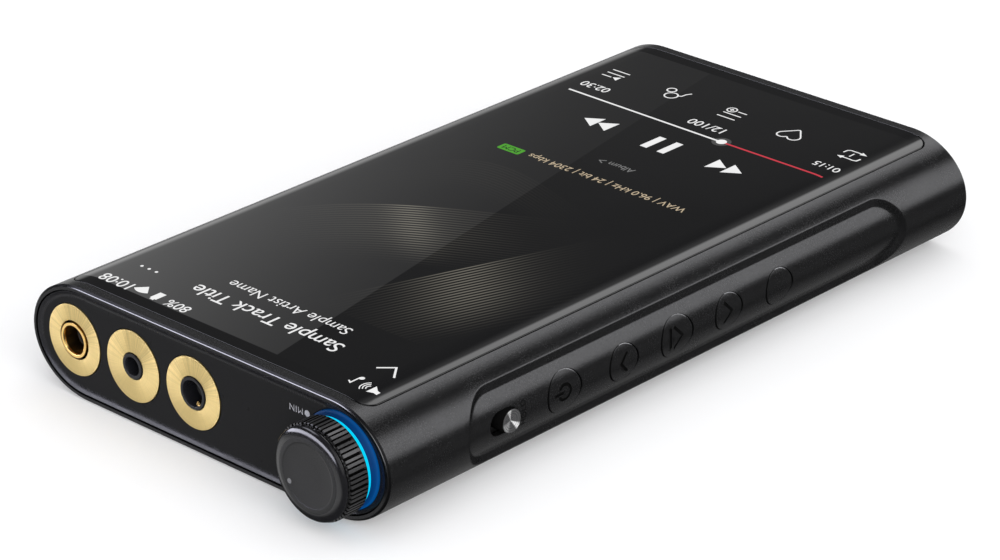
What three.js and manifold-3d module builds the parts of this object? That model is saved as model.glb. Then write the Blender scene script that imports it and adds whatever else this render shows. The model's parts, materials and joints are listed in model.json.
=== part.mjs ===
// A pocket digital audio player: an extruded aluminium sleeve with a curved front glass, a jack end with three
// sockets and a lit volume knob, and a recessed row of keys along one flank.
// Millimetres. +Z comes out of the screen, -Y points to the jack end, +X to the flank with the keys.
// The origin is the middle of the flat back that the player lies on.
import * as THREE from "three";
import { mergeVertices } from "three/addons/utils/BufferGeometryUtils.js";
import Module from "manifold-3d";

const wasm = await Module();
wasm.setup();

// ---- Driving dimensions ----
const LENGTH = 131;
const WIDTH = 75.4;
const THICK = 18.5;
const FLANK = 11.3; // how far each elliptical flank reaches in from the side
const MID_Z = THICK / 2;
const END_Y = LENGTH / 2;
const FLAT_X = WIDTH / 2 - FLANK; // half width of the flat top and bottom
const GAP = 0.3; // clearance between neighbouring pieces
const RIM = 1.5; // wall of the sleeve where the end caps sit
const CAVITY_INSET = 2.4;
const CAVITY_LOW = 3.1;
const CAVITY_HIGH = THICK - 3.1;
const EDGE_CHAMFER = 0.35;

const PANEL_X = 31.3; // half width of the front glass and of the back cover
const PANEL_Y = 63.4;
const PANEL_RADIUS = 3;
const GLASS_LOW = 17.2;
const BACK_HIGH = 1.3;
const WINDOW_X = 30.2;
const WINDOW_Y = 61.9;

const CAP_PLATE = 1.6; // an end cap's face plate reaches this far in from the end of the sleeve
const CAP_DEPTH = 0.5; // how far an end face lies behind the rim of the sleeve
const CAP_INSET = RIM + 0.25;
const DISH_RISE = 0.3; // the concave border of an end face
const DISH_REACH = 1.2;
const PLUG_DEPTH = 2.4;

const JACK_PITCH = 13;
const DISC_R = 5.7;
const DISC_THICK = 0.5;
const DISC_SET_BACK = CAP_DEPTH - 0.12;
const JACKS = [
  { size: "44", x: -28.6, bore: 2.2, barrel: 2.9, length: 18 },
  { size: "25", x: -28.6 + JACK_PITCH, bore: 1.3, barrel: 2.05, length: 13 },
  { size: "35", x: -28.6 + 2 * JACK_PITCH, bore: 1.8, barrel: 2.55, length: 15 },
];

const KNOB_X = 27.85;
const KNOB_R = 7.4;
const KNOB_BACK = END_Y + 1.3; // distances from the middle of the player towards the jack end
const KNOB_FRONT = END_Y + 5.15;
const KNURL_RIBS = 60;
const KNURL_DEPTH = 0.4;
const FACE_R = 7.1;
const FACE_FRONT = END_Y + 6.2;
const FACE_FLAT_R = 4.9;
const COLLAR_NECK_R = 6.7; // the lit collar passes the end cap at this radius
const COLLAR_R = 7.6;
const LIGHT_R = 7;
const LIGHT_FRONT = END_Y + 0.9;
const SHAFT_R = 1.6;

const POCKET_DEPTH = 1;
const POCKET_END = 49.6; // the pocket runs this far each way from the middle
const POCKET_HALF_Z = 6.1;
const POCKET_SLOPE = 0.62; // how much the wall leans in for each millimetre of depth
const KEY_TRAVEL = 0.4;
const KEY_GAP = 0.2;
const KEYS = [
  { name: "power", y: -28.7, r: 3.45 },
  { name: "previous", y: -15.9, r: 3 },
  { name: "play", y: -4.05, r: 3.45 },
  { name: "next", y: 7.75, r: 3 },
  { name: "function", y: 19.6, r: 3 },
];
const HOLD_Y = -40.5; // where the hold slider rests
const HOLD_TRAVEL = 1.7;
const HOLD_R = 1.9;
const HOLD_SLOT_R = 2.1;
const HOLD_SLOT_ENDS = [-44.3, -38.4];

const KEY_BOARD_X = 29.8;
const BOARD_LOW = 12.5;
const CARD_X = 18;

// ---- Materials ----
const finish = (color, roughness, metalness) => new THREE.MeshStandardMaterial({ color, roughness, metalness });
const anodised = finish(0x1c1c1e, 0.45, 0.8);
const blackGlass = finish(0x08080a, 0.06, 0);
const glossBlack = finish(0x0b0b0d, 0.15, 0);
const brushedGold = finish(0xc9a558, 0.35, 1);
const goldPlate = finish(0xe6b54a, 0.15, 1);
const knobBlack = finish(0x19191b, 0.3, 0.5);
const lightAcrylic = finish(0x0a6fd0, 0.2, 0);
const steel = finish(0xb4b4b8, 0.25, 1);
const innerBlack = finish(0x161616, 0.6, 0);
const circuit = finish(0x123322, 0.6, 0);
const shieldMetal = finish(0xa8a9ac, 0.35, 1);
const batteryWrap = finish(0x202226, 0.5, 0.1);
const screenStack = finish(0x101214, 0.3, 0);

// ---- Solids and geometry ----
function solidOf(geometry) {
  const bare = geometry.clone();
  bare.deleteAttribute("normal");
  bare.deleteAttribute("uv");
  const merged = mergeVertices(bare, 1e-4);
  const vertProperties = merged.attributes.position.array;
  const triVerts = new Uint32Array(merged.index.array);
  return new wasm.Manifold(new wasm.Mesh({ numProp: 3, vertProperties, triVerts }));
}

function geometryOf(solid) {
  const mesh = solid.getMesh();
  const geometry = new THREE.BufferGeometry();
  geometry.setAttribute("position", new THREE.BufferAttribute(new Float32Array(mesh.vertProperties), 3));
  geometry.setIndex(new THREE.BufferAttribute(new Uint32Array(mesh.triVerts), 1));
  geometry.computeVertexNormals();
  return geometry;
}

const joined = (first, ...rest) => rest.reduce((all, one) => all.add(one), first);
const cut = (first, ...rest) => rest.reduce((left, one) => left.subtract(one), first);

// A box between two corners.
function block(x0, x1, y0, y1, z0, z1) {
  const box = new THREE.BoxGeometry(x1 - x0, y1 - y0, z1 - z0);
  return solidOf(box.translate((x0 + x1) / 2, (y0 + y1) / 2, (z0 + z1) / 2));
}

// A shape drawn in X and Z, extruded from y0 to y1. A bevel takes the corner off both ends, over a reach.
function alongY(shape, y0, y1, curveSegments = 12, bevel = 0, reach = bevel) {
  const options = {
    depth: y1 - y0 - 2 * bevel,
    curveSegments,
    bevelEnabled: bevel > 0,
    bevelSize: reach,
    bevelOffset: -reach,
    bevelThickness: bevel,
    bevelSegments: 1,
  };
  const geometry = new THREE.ExtrudeGeometry(shape, options);
  return solidOf(geometry.rotateX(Math.PI / 2).translate(0, y1 - bevel, 0));
}

// A shape drawn in X and Y, extruded from z0 to z1.
function alongZ(shape, z0, z1, curveSegments = 6) {
  const geometry = new THREE.ExtrudeGeometry(shape, { depth: z1 - z0, curveSegments, bevelEnabled: false });
  return solidOf(geometry.translate(0, 0, z0));
}

// A round bar along Y between two distances towards the jack end, on the axis (x, z).
function roundY(x, z, r, from, to, sides = 32) {
  const bar = new THREE.CylinderGeometry(r, r, to - from, sides);
  return solidOf(bar.translate(x, -(from + to) / 2, z));
}

// A round bar along X.
function roundX(y, z, r, x0, x1, sides = 32) {
  const bar = new THREE.CylinderGeometry(r, r, x1 - x0, sides);
  return solidOf(bar.rotateZ(-Math.PI / 2).translate((x0 + x1) / 2, y, z));
}

// A turned piece on the knob's axis. The profile's points are (radius, distance towards the jack end).
function turnedOnKnobAxis(profile, sides = 48) {
  const points = profile.map(([r, out]) => new THREE.Vector2(r, out));
  const turned = new THREE.LatheGeometry(points, sides).rotateX(Math.PI);
  return solidOf(turned.translate(KNOB_X, 0, MID_Z));
}

// The sleeve's section, moved in by an inset: flat top and bottom with an elliptical flank each side.
function sleeveSection(inset) {
  const [a, b] = [FLANK - inset, MID_Z - inset];
  const section = new THREE.Shape();
  section.moveTo(-FLAT_X, inset);
  section.lineTo(FLAT_X, inset);
  section.absellipse(FLAT_X, MID_Z, a, b, -Math.PI / 2, Math.PI / 2);
  section.lineTo(-FLAT_X, THICK - inset);
  section.absellipse(-FLAT_X, MID_Z, a, b, Math.PI / 2, (3 * Math.PI) / 2);
  return section;
}

// A rectangle with round corners, centred on (cx, cy).
function roundedRectangle(halfX, halfY, radius, cx = 0, cy = 0) {
  const shape = new THREE.Shape();
  const corners = [
    [1, -1, -Math.PI / 2],
    [1, 1, 0],
    [-1, 1, Math.PI / 2],
    [-1, -1, Math.PI],
  ];
  shape.moveTo(cx - halfX + radius, cy - halfY);
  for (const [sx, sy, start] of corners) {
    shape.absarc(cx + sx * (halfX - radius), cy + sy * (halfY - radius), radius, start, start + Math.PI / 2);
  }
  return shape;
}

// A slot with round ends along Y, as a solid along X. The lean widens it for each millimetre of x.
function slotAlongX(y0, y1, z, r, x0, x1, lean = 0, sides = 10) {
  const ring = (radius) => {
    const points = [];
    for (const [y, start] of [[y1 - r, 0], [y0 + r, Math.PI]]) {
      for (let i = 0; i <= sides; i++) {
        const angle = start + Math.PI / 2 - (Math.PI * i) / sides;
        points.push([y + radius * Math.cos(angle), z + radius * Math.sin(angle)]);
      }
    }
    return points;
  };
  return loftAlongX([[x0, ring(r)], [x1, ring(r + lean * (x1 - x0))]]);
}

// A closed solid through rings of equal count, each at one x.
function loftAlongX(rings) {
  const count = rings[0][1].length;
  const positions = rings.flatMap(([x, points]) => points.flatMap(([y, z]) => [x, y, z]));
  const faces = [];
  for (let ring = 0; ring + 1 < rings.length; ring++) {
    for (let i = 0; i < count; i++) {
      const [a, b] = [ring * count + i, ring * count + ((i + 1) % count)];
      faces.push(a, a + count, b, b, a + count, b + count);
    }
  }
  const last = (rings.length - 1) * count;
  for (let i = 1; i + 1 < count; i++) {
    faces.push(0, i, i + 1, last, last + i + 1, last + i);
  }
  const geometry = new THREE.BufferGeometry();
  geometry.setAttribute("position", new THREE.BufferAttribute(new Float32Array(positions), 3));
  geometry.setIndex(faces);
  return solidOf(geometry);
}

// ---- The object ----
const player = new THREE.Group();

function add(name, material, solid) {
  const mesh = new THREE.Mesh(geometryOf(solid), material);
  mesh.name = name;
  player.add(mesh);
}

const wholeSleeve = alongY(sleeveSection(0), -END_Y, END_Y, 12, EDGE_CHAMFER);
const pocketFloor = alongY(sleeveSection(POCKET_DEPTH), -END_Y, END_Y, 12);

// The recess of the key row: a leaning-walled slot down to a floor that keeps the flank's curve.
function keyPocket() {
  const innerX = WIDTH / 2 - 4.2;
  const outerX = WIDTH / 2 + 1;
  const innerR = POCKET_HALF_Z - POCKET_SLOPE * (WIDTH / 2 - 2.6 - innerX);
  const shrink = POCKET_HALF_Z - innerR;
  const slot = slotAlongX(-POCKET_END + shrink, POCKET_END - shrink, MID_Z, innerR, innerX, outerX, POCKET_SLOPE);
  return slot.subtract(pocketFloor);
}

function addShell() {
  const cavityBand = block(-WIDTH, WIDTH, -LENGTH, LENGTH, CAVITY_LOW, CAVITY_HIGH);
  const cavity = alongY(sleeveSection(CAVITY_INSET), -LENGTH, LENGTH).intersect(cavityBand);
  const capSeat = alongY(sleeveSection(RIM), END_Y - CAP_PLATE - GAP, LENGTH);
  const panelSeat = roundedRectangle(PANEL_X + GAP, PANEL_Y + GAP, PANEL_RADIUS + GAP);
  const window = roundedRectangle(WINDOW_X, WINDOW_Y, 1);
  const keyHoles = KEYS.map(({ y, r }) => roundX(y, MID_Z, r + KEY_GAP, 30, WIDTH));
  const holdSlot = slotAlongX(HOLD_SLOT_ENDS[0], HOLD_SLOT_ENDS[1], MID_Z, HOLD_SLOT_R, 30, WIDTH);
  const shell = cut(
    wholeSleeve,
    cavity,
    capSeat,
    capSeat.rotate([0, 0, 180]),
    alongZ(panelSeat, GLASS_LOW - GAP, THICK + 1),
    alongZ(panelSeat, -1, BACK_HIGH + GAP),
    alongZ(window, -1, THICK + 1),
    keyPocket(),
    holdSlot,
    ...keyHoles,
  );
  add("body_shell", anodised, shell);
}

function addPanels() {
  const panel = roundedRectangle(PANEL_X, PANEL_Y, PANEL_RADIUS);
  add("front_glass", blackGlass, alongZ(panel, GLASS_LOW, THICK + 1).intersect(wholeSleeve));
  add("back_cover", blackGlass, alongZ(panel, -1, BACK_HIGH).intersect(wholeSleeve));
}

function addScreenStack() {
  add("lcd_panel", screenStack, block(-29.8, 29.8, -61, 61, 15.9, 16.9));
  add("backlight_unit", shieldMetal, block(-29.8, 29.8, -60.5, 60.5, 14.6, 15.6));
  add("mid_frame", shieldMetal, block(-31.2, 31.2, -60.5, 60.5, 13.6, 14.3));
}

// The plug of a cap, which enters the sleeve's cavity behind the face plate.
function capPlug(x0, x1) {
  const back = END_Y - CAP_PLATE;
  const plug = block(x0, x1, -back, -(back - PLUG_DEPTH), CAVITY_LOW + GAP + 0.1, CAVITY_HIGH - GAP - 0.1);
  return plug.intersect(alongY(sleeveSection(CAVITY_INSET + GAP), -LENGTH, LENGTH));
}

// The face plate of the cap at the jack end, sunk inside a concave border.
function capPlate() {
  const plate = alongY(sleeveSection(CAP_INSET), -(END_Y - CAP_DEPTH + DISH_RISE), -(END_Y - CAP_PLATE));
  const dishEnd = -(END_Y - CAP_DEPTH);
  return plate.subtract(alongY(sleeveSection(CAP_INSET + 0.1), dishEnd - 4, dishEnd, 12, DISH_RISE, DISH_REACH));
}

function addJackEndCap() {
  const seatFloor = END_Y - DISC_SET_BACK - DISC_THICK - GAP;
  const discSeats = JACKS.map(({ x }) => roundY(x, MID_Z, DISC_R + 0.2, seatFloor, LENGTH));
  const barrelHoles = JACKS.map(({ x, barrel }) => roundY(x, MID_Z, barrel + GAP, 50, LENGTH));
  const knobHole = roundY(KNOB_X, MID_Z, COLLAR_NECK_R + GAP, 50, LENGTH, 48);
  const cap = joined(capPlate(), capPlug(-33, 17));
  add("jack_end_cap", glossBlack, cut(cap, ...discSeats, ...barrelHoles, knobHole));
}

function addPortEndCap() {
  const usbOpening = alongY(roundedRectangle(4.9, 2, 1.9, 0, MID_Z), 50, LENGTH, 6);
  const cardSlot = alongY(roundedRectangle(6.6, 1.1, 1, CARD_X, MID_Z), 50, LENGTH, 6);
  const cap = joined(capPlate(), capPlug(-32, 32)).rotate([0, 0, 180]);
  add("port_end_cap", glossBlack, cut(cap, usbOpening, cardSlot));
}

// One socket: a gold disc on the end face, a barrel that takes the plug, the housing round it and its contact.
function addJack({ size, x, bore, barrel, length }) {
  const front = END_Y - DISC_SET_BACK;
  const back = front - length;
  const ring = roundY(x, MID_Z, DISC_R, front - DISC_THICK, front, 48);
  add(`jack_${size}_disc`, brushedGold, ring.subtract(roundY(x, MID_Z, barrel + GAP, 50, LENGTH)));
  const tube = roundY(x, MID_Z, barrel, back, front + 0.05).subtract(roundY(x, MID_Z, bore, back - 1, LENGTH));
  const springSlot = block(x - 0.6, x + 0.6, -(back + 3.2), -(back + 0.4), MID_Z - barrel - 1, MID_Z);
  add(`jack_${size}_barrel`, size === "44" ? goldPlate : glossBlack, tube.subtract(springSlot));
  const housing = block(x - 4.4, x + 4.4, -61.2, -(back - 1.2), 5.2, 13.3);
  const room = roundY(x, MID_Z, barrel + GAP, back - 0.2, LENGTH);
  const springRoom = block(x - 0.6, x + 0.6, -(back + 3.2), -(back + 0.4), MID_Z - barrel - 0.9, MID_Z);
  add(`jack_${size}_housing`, innerBlack, cut(housing, room, springRoom));
  const springTop = MID_Z - bore + 0.15;
  const contact = block(x - 0.3, x + 0.3, -(back + 2.9), -(back + 0.7), springTop - 0.7, springTop);
  add(`jack_${size}_contact`, goldPlate, contact);
}

// The grip's outline: ribs with flat tops, and straight grooves between them.
function knurledOutline() {
  const low = KNOB_R - KNURL_DEPTH;
  const corners = [[0, KNOB_R + 0.1], [0.58, KNOB_R + 0.1], [0.66, low], [0.92, low]];
  const points = [];
  for (let rib = 0; rib < KNURL_RIBS; rib++) {
    for (const [share, radius] of corners) {
      const angle = (2 * Math.PI * (rib + share)) / KNURL_RIBS;
      points.push(new THREE.Vector2(KNOB_X + radius * Math.cos(angle), MID_Z + radius * Math.sin(angle)));
    }
  }
  return new THREE.Shape(points);
}

function addVolumeControl() {
  const collar = turnedOnKnobAxis([
    [4.9, END_Y - 1.2],
    [COLLAR_NECK_R, END_Y - 1.2],
    [COLLAR_NECK_R, END_Y],
    [COLLAR_R, END_Y],
    [COLLAR_R, END_Y + 0.15],
    [LIGHT_R, END_Y + 0.5],
    [LIGHT_R, LIGHT_FRONT],
    [4.9, LIGHT_FRONT],
    [4.9, END_Y - 1.2],
  ]);
  add("light_ring", lightAcrylic, collar);
  const ledBoard = roundY(KNOB_X, MID_Z, 5.8, 63.1, 63.8);
  add("led_ring_board", circuit, ledBoard.subtract(roundY(KNOB_X, MID_Z, 3.3, 60, 66)));
  const shaftRoom = roundY(KNOB_X, MID_Z, SHAFT_R + GAP, 55, 72);
  add("pot_bushing", steel, roundY(KNOB_X, MID_Z, 3, 60.3, 66).subtract(shaftRoom));
  add("pot_nut", steel, roundY(KNOB_X, MID_Z, 4.4, 61.2, 62.6, 6).subtract(roundY(KNOB_X, MID_Z, 3.3, 60, 64)));
  add("pot_body", innerBlack, block(KNOB_X - 4.6, KNOB_X + 4.6, -60, -53.5, 5.2, 13.3).subtract(shaftRoom));
  add("knob_shaft", steel, roundY(KNOB_X, MID_Z, SHAFT_R, 55.6, KNOB_FRONT - 1, 24));
  const grip = turnedOnKnobAxis([
    [0, KNOB_FRONT - 0.7],
    [SHAFT_R + GAP, KNOB_FRONT - 0.7],
    [SHAFT_R + GAP, KNOB_BACK + 0.2],
    [KNOB_R - 0.5, KNOB_BACK],
    [KNOB_R, KNOB_BACK + 0.35],
    [KNOB_R, KNOB_FRONT - 0.15],
    [KNOB_R - 0.15, KNOB_FRONT],
    [0, KNOB_FRONT],
    [0, KNOB_FRONT - 0.7],
  ], 60);
  add("knob_grip", knobBlack, grip.intersect(alongY(knurledOutline(), -KNOB_FRONT - 1, -KNOB_BACK + 1)));
  const face = turnedOnKnobAxis([
    [0, KNOB_FRONT + 0.1],
    [FACE_R, KNOB_FRONT + 0.1],
    [FACE_R, KNOB_FRONT + 0.35],
    [FACE_FLAT_R, FACE_FRONT],
    [FACE_FLAT_R - 0.15, FACE_FRONT - 0.1],
    [0, FACE_FRONT - 0.1],
    [0, KNOB_FRONT + 0.1],
  ]);
  add("knob_face", knobBlack, face);
}

// A key follows the pocket's curved floor. Its flange bar keeps it in, and its stem reaches for its switch.
function addKey({ name, y, r }) {
  const head = roundX(y, MID_Z, r, 33.6, WIDTH / 2, 40).intersect(pocketFloor);
  const flange = block(33.7, 34.3, y - r - 0.9, y + r + 0.9, MID_Z - 2.2, MID_Z + 2.2);
  const stem = roundX(y, MID_Z, 1.1, 32.6, 34, 16);
  add(`${name}_key`, anodised, joined(head, flange, stem));
  add(`${name}_switch`, innerBlack, block(30.9, 32.1, y - 1.75, y + 1.75, MID_Z - 1.5, MID_Z + 1.5));
}

function addHoldSwitch() {
  const pin = roundX(HOLD_Y, MID_Z, HOLD_R, 34.5, 37.3, 32);
  const crown = new THREE.CylinderGeometry(HOLD_R - 0.45, HOLD_R, 0.1, 32).rotateZ(-Math.PI / 2);
  add("hold_slider", steel, pin.add(solidOf(crown.translate(37.35, HOLD_Y, MID_Z))));
  const plate = block(33.5, 34.2, HOLD_Y - 4.2, HOLD_Y + 3, MID_Z - 2.4, MID_Z + 2.4);
  const fork = block(32.8, 33.7, HOLD_Y - 0.8, HOLD_Y + 0.8, MID_Z - 0.8, MID_Z + 0.8);
  add("hold_carrier", innerBlack, plate.add(fork));
  const [y0, y1] = [HOLD_Y - HOLD_TRAVEL - 1.6, HOLD_Y + 1.6];
  add("hold_switch", innerBlack, block(30.9, 32.5, y0, y1, MID_Z - 1.6, MID_Z + 1.6));
}

function addBoardsAndBattery() {
  add("key_board", circuit, block(KEY_BOARD_X, 30.6, -45.5, 24, 5.6, 12.9));
  add("jack_board", circuit, block(-31.5, 24, -61, -44, 4, 4.8));
  add("main_board", circuit, block(-30.8, 28.6, -43, 46, BOARD_LOW, 13.3));
  add("dac_shield", shieldMetal, block(-27, -2, -40, -14, 9.9, BOARD_LOW - GAP));
  add("amp_shield", shieldMetal, block(2, 26, -40, -14, 9.9, BOARD_LOW - GAP));
  add("cpu_shield", shieldMetal, block(-20, 18, -8, 22, 9.9, BOARD_LOW - GAP));
  add("battery", batteryWrap, block(-27, 27, -40, 45.5, 3.5, 9.5));
  add("port_board", circuit, block(-28, 28, 50, 61, 6.1, 6.9));
  const usbShell = alongY(roundedRectangle(4.5, 1.6, 1.5, 0, MID_Z), 57.5, 64.9, 6);
  const usbMouth = alongY(roundedRectangle(4.2, 1.3, 1.2, 0, MID_Z), 59, 70, 6);
  const usbTongue = block(-3.3, 3.3, 58, 64.2, MID_Z - 0.35, MID_Z + 0.35);
  add("usb_port", steel, joined(usbShell.subtract(usbMouth), usbTongue));
  const socket = block(CARD_X - 7.2, CARD_X + 7.2, 46, 61.2, MID_Z - 1.3, MID_Z + 1.3);
  const socketRoom = block(CARD_X - 6.2, CARD_X + 6.2, 46.8, 70, MID_Z - 0.9, MID_Z + 0.9);
  add("card_socket", shieldMetal, socket.subtract(socketRoom));
  const trayEnd = END_Y - CAP_DEPTH;
  const trayFront = alongY(roundedRectangle(6.4, 0.9, 0.85, CARD_X, MID_Z), trayEnd - 1.2, trayEnd, 6);
  const trayBed = block(CARD_X - 5.9, CARD_X + 5.9, 47.4, trayEnd - 1.1, MID_Z - 0.5, MID_Z + 0.5);
  const cardRecess = block(CARD_X - 5.4, CARD_X + 5.4, 48, 63, MID_Z - 0.1, MID_Z + 2);
  const pinHole = roundY(CARD_X + 4.6, MID_Z, 0.35, -70, -(trayEnd - 0.6), 12);
  add("card_tray", anodised, cut(joined(trayFront, trayBed), cardRecess, pinHole));
  const antennaLeg = block(-31.9, -31.2, -43, -30, 10.5, 13.5);
  add("antenna_strip", goldPlate, block(-32, -12, -43.6, -40.7, 13.5, 13.55).add(antennaLeg));
}

// The four screws that hold the main board up to the mid frame.
function addBoardScrews() {
  const places = [[-28.9, -38], [25.5, -9], [-28.9, 40], [25.5, 40]];
  places.forEach(([x, y], i) => {
    const head = new THREE.CylinderGeometry(1.4, 1.4, 0.7, 20).rotateX(Math.PI / 2);
    const slot = block(x - 1, x + 1, y - 0.2, y + 0.2, 11, BOARD_LOW - GAP - 0.4);
    add(`board_screw_${i + 1}`, steel, solidOf(head.translate(x, y, BOARD_LOW - GAP - 0.35)).subtract(slot));
  });
}

addShell();
addPanels();
addScreenStack();
addJackEndCap();
addPortEndCap();
JACKS.forEach(addJack);
addVolumeControl();
KEYS.forEach(addKey);
addHoldSwitch();
addBoardsAndBattery();
addBoardScrews();

export default player;
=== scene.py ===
import json
import math

import bmesh
import bpy
import numpy as np
from mathutils import Matrix, Vector
from mathutils.geometry import delaunay_2d_cdt
from mathutils.kdtree import KDTree


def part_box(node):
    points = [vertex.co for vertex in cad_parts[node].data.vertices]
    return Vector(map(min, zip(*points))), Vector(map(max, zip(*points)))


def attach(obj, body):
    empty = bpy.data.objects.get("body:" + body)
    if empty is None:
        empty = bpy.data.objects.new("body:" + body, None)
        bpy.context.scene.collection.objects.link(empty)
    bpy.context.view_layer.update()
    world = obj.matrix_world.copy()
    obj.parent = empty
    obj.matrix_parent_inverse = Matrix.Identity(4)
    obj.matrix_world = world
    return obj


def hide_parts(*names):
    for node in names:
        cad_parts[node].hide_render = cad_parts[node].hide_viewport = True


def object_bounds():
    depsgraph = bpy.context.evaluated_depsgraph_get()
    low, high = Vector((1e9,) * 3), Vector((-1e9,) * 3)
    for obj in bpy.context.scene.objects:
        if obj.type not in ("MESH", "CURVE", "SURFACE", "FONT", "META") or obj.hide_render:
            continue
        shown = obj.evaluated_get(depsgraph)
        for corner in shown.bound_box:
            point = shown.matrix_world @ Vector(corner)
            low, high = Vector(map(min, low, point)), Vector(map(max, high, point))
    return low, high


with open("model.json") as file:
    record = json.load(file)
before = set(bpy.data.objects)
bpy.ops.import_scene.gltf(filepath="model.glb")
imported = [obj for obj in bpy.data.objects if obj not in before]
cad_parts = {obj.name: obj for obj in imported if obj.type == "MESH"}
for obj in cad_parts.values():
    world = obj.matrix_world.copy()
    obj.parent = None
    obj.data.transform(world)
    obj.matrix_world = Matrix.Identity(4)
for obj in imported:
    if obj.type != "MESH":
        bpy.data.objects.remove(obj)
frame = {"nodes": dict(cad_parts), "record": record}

CAD_LOW, CAD_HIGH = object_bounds()

# Lengths are in millimetres until a mesh is made. +Z comes out of the screen, -Y points to the jack end and +X to the
# flank with the keys.
MM = 0.001
TINY = 1e-6


def box_mm(node):
    low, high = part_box(node)
    return low / MM, high / MM


def middle(node):
    low, high = box_mm(node)
    return (low + high) / 2


def radius_of(node):
    low, high = box_mm(node)
    return (high.z - low.z) / 2


HALF_WIDTH, END_Y, THICK = box_mm("body_shell")[1]
MID_Z = THICK / 2
FLANK = 11.3  # how far each elliptical flank reaches in
FLAT_X = HALF_WIDTH - FLANK
PANEL = box_mm("front_glass")[1]
PANEL_CORNER = 2.4
SEAM = 0.13  # half of the dark line round the glass
RIM = 0.8
END_CHAMFER = 0.35
CUT_WIDTH = 0.09  # the bright cut line on the sleeve's end
CAP_DEPTH = 0.5  # how far an end face lies behind the rim
KEYS = ("power", "previous", "play", "next", "function")
KNOB_X, _, KNOB_Z = middle("knob_face")
POCKET_DEPTH = 1.0
SIDE_V = 7.7  # beyond this height from the middle, the unrolled coordinate is arc length


# ---- Shapes in a plane ----
def arc(u, v, radius, start, end, steps=16):
    """Points on a circle round (u, v), from one angle in degrees to another."""
    angles = [math.radians(start + (end - start) * i / steps) for i in range(steps + 1)]
    return [(u + radius * math.cos(a), v + radius * math.sin(a)) for a in angles]


def between(a, b, step):
    """Points from a towards b, a step apart or less. b is left out."""
    count = max(1, math.ceil(math.dist(a, b) / step))
    return [(a[0] + (b[0] - a[0]) * i / count, a[1] + (b[1] - a[1]) * i / count) for i in range(count)]


class Slot:
    """A rectangle with round corners. A radius that fills it makes it a circle or a slot with round ends."""

    def __init__(self, u, v, half_u, half_v, radius):
        self.u, self.v, self.half_u, self.half_v, self.radius = u, v, half_u, half_v, radius

    def distance(self, u, v):
        """The distance from the outline, negative inside it."""
        du = abs(u - self.u) - self.half_u + self.radius
        dv = abs(v - self.v) - self.half_v + self.radius
        return math.hypot(max(du, 0), max(dv, 0)) + min(max(du, dv), 0) - self.radius

    def loop(self, grow=0.0, step=1.5, arc_steps=8):
        """Points round the outline, moved out by grow."""
        corners = []
        for sign_u, sign_v, start in ((1, 1, 0), (-1, 1, 90), (-1, -1, 180), (1, -1, 270)):
            centre_u = self.u + sign_u * (self.half_u - self.radius)
            centre_v = self.v + sign_v * (self.half_v - self.radius)
            corners += arc(centre_u, centre_v, self.radius + grow, start, start + 90, arc_steps)
        points = []
        for a, b in zip(corners, corners[1:] + corners[:1]):
            if math.dist(a, b) >= TINY:
                points += between(a, b, step)
        return points


def circle(u, v, radius):
    return Slot(u, v, radius, radius, radius)


def along(table, x):
    """The value at x in a table of (x, value) rows, straight between them and level beyond its ends."""
    return float(np.interp(x, [row[0] for row in table], [row[1] for row in table]))


def soften(points, radius, steps=3):
    """The points of a closed profile with each corner rounded."""
    rounded = []
    for i, point in enumerate(points):
        before, here, after = Vector(points[i - 1]), Vector(point), Vector(points[(i + 1) % len(points)])
        cut = min(radius, (before - here).length * 0.45, (after - here).length * 0.45)
        start = here + (before - here).normalized() * cut
        end = here + (after - here).normalized() * cut
        for k in range(steps + 1):
            t = k / steps
            rounded.append(tuple(start.lerp(here, t).lerp(here.lerp(end, t), t)))
    return rounded


def inward(radius, height, rows):
    """A turned profile from rows of (how far inside the radius, how far above the height). None is on the axis."""
    return [(0 if inside is None else radius - inside, height + above) for inside, above in rows]


# ---- Meshes ----
def placed(name, data):
    """A new object in the scene."""
    made = bpy.data.objects.new(name, data)
    bpy.context.scene.collection.objects.link(made)
    return made


def piece(name, points, faces, look, replaces=(), slot=None, sharp=32, more=(), pick=None, body="player"):
    """A mesh piece from points in millimetres. It rides on a CAD body. pick chooses between its look and more looks."""
    mesh = bpy.data.meshes.new(name)
    mesh.from_pydata([(x * MM, y * MM, z * MM) for x, y, z in points], [], faces)
    work = bmesh.new()
    work.from_mesh(mesh)
    bmesh.ops.delete(work, geom=[v for v in work.verts if not v.link_faces], context="VERTS")
    bmesh.ops.recalc_face_normals(work, faces=work.faces)
    work.to_mesh(mesh)
    work.free()
    mesh.shade_smooth()
    mesh.set_sharp_from_angle(angle=math.radians(sharp))
    paint(mesh, (look, *more), pick)
    made = placed(name, mesh)
    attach(made, body)
    if replaces:
        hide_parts(*replaces)


def paint(mesh, looks, pick=None):
    """Gives a mesh its looks. pick gives the number of a face's look from its middle and its normal."""
    for look in looks:
        mesh.materials.append(look)
    for polygon in mesh.polygons:
        polygon.material_index = pick(*(c / MM for c in polygon.center), polygon.normal) if pick else 0


def triangulate(loops, lines, free, keep, clear=0.35):
    """Triangles between loops and lines, which stay as edges, with free points where they have room."""
    coords, edges = [], []
    for points, closed in [(loop, True) for loop in loops] + [(line, False) for line in lines]:
        start = len(coords)
        coords += points
        edges += [(start + i, start + i + 1) for i in range(len(points) - 1)]
        if closed:
            edges.append((start + len(points) - 1, start))
    near = KDTree(len(coords))
    for i, (u, v) in enumerate(coords):
        near.insert((u, v, 0), i)
    near.balance()
    coords += [(u, v) for u, v in free if keep(u, v) and near.find((u, v, 0))[2] > clear]
    flat, _, faces, *_ = delaunay_2d_cdt([Vector(c) for c in coords], edges, [], 0, TINY)
    centres = [sum((flat[i] for i in face), Vector((0, 0))) / len(face) for face in faces]
    return [tuple(v) for v in flat], [face for face, c in zip(faces, centres) if keep(c.x, c.y)]


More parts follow.
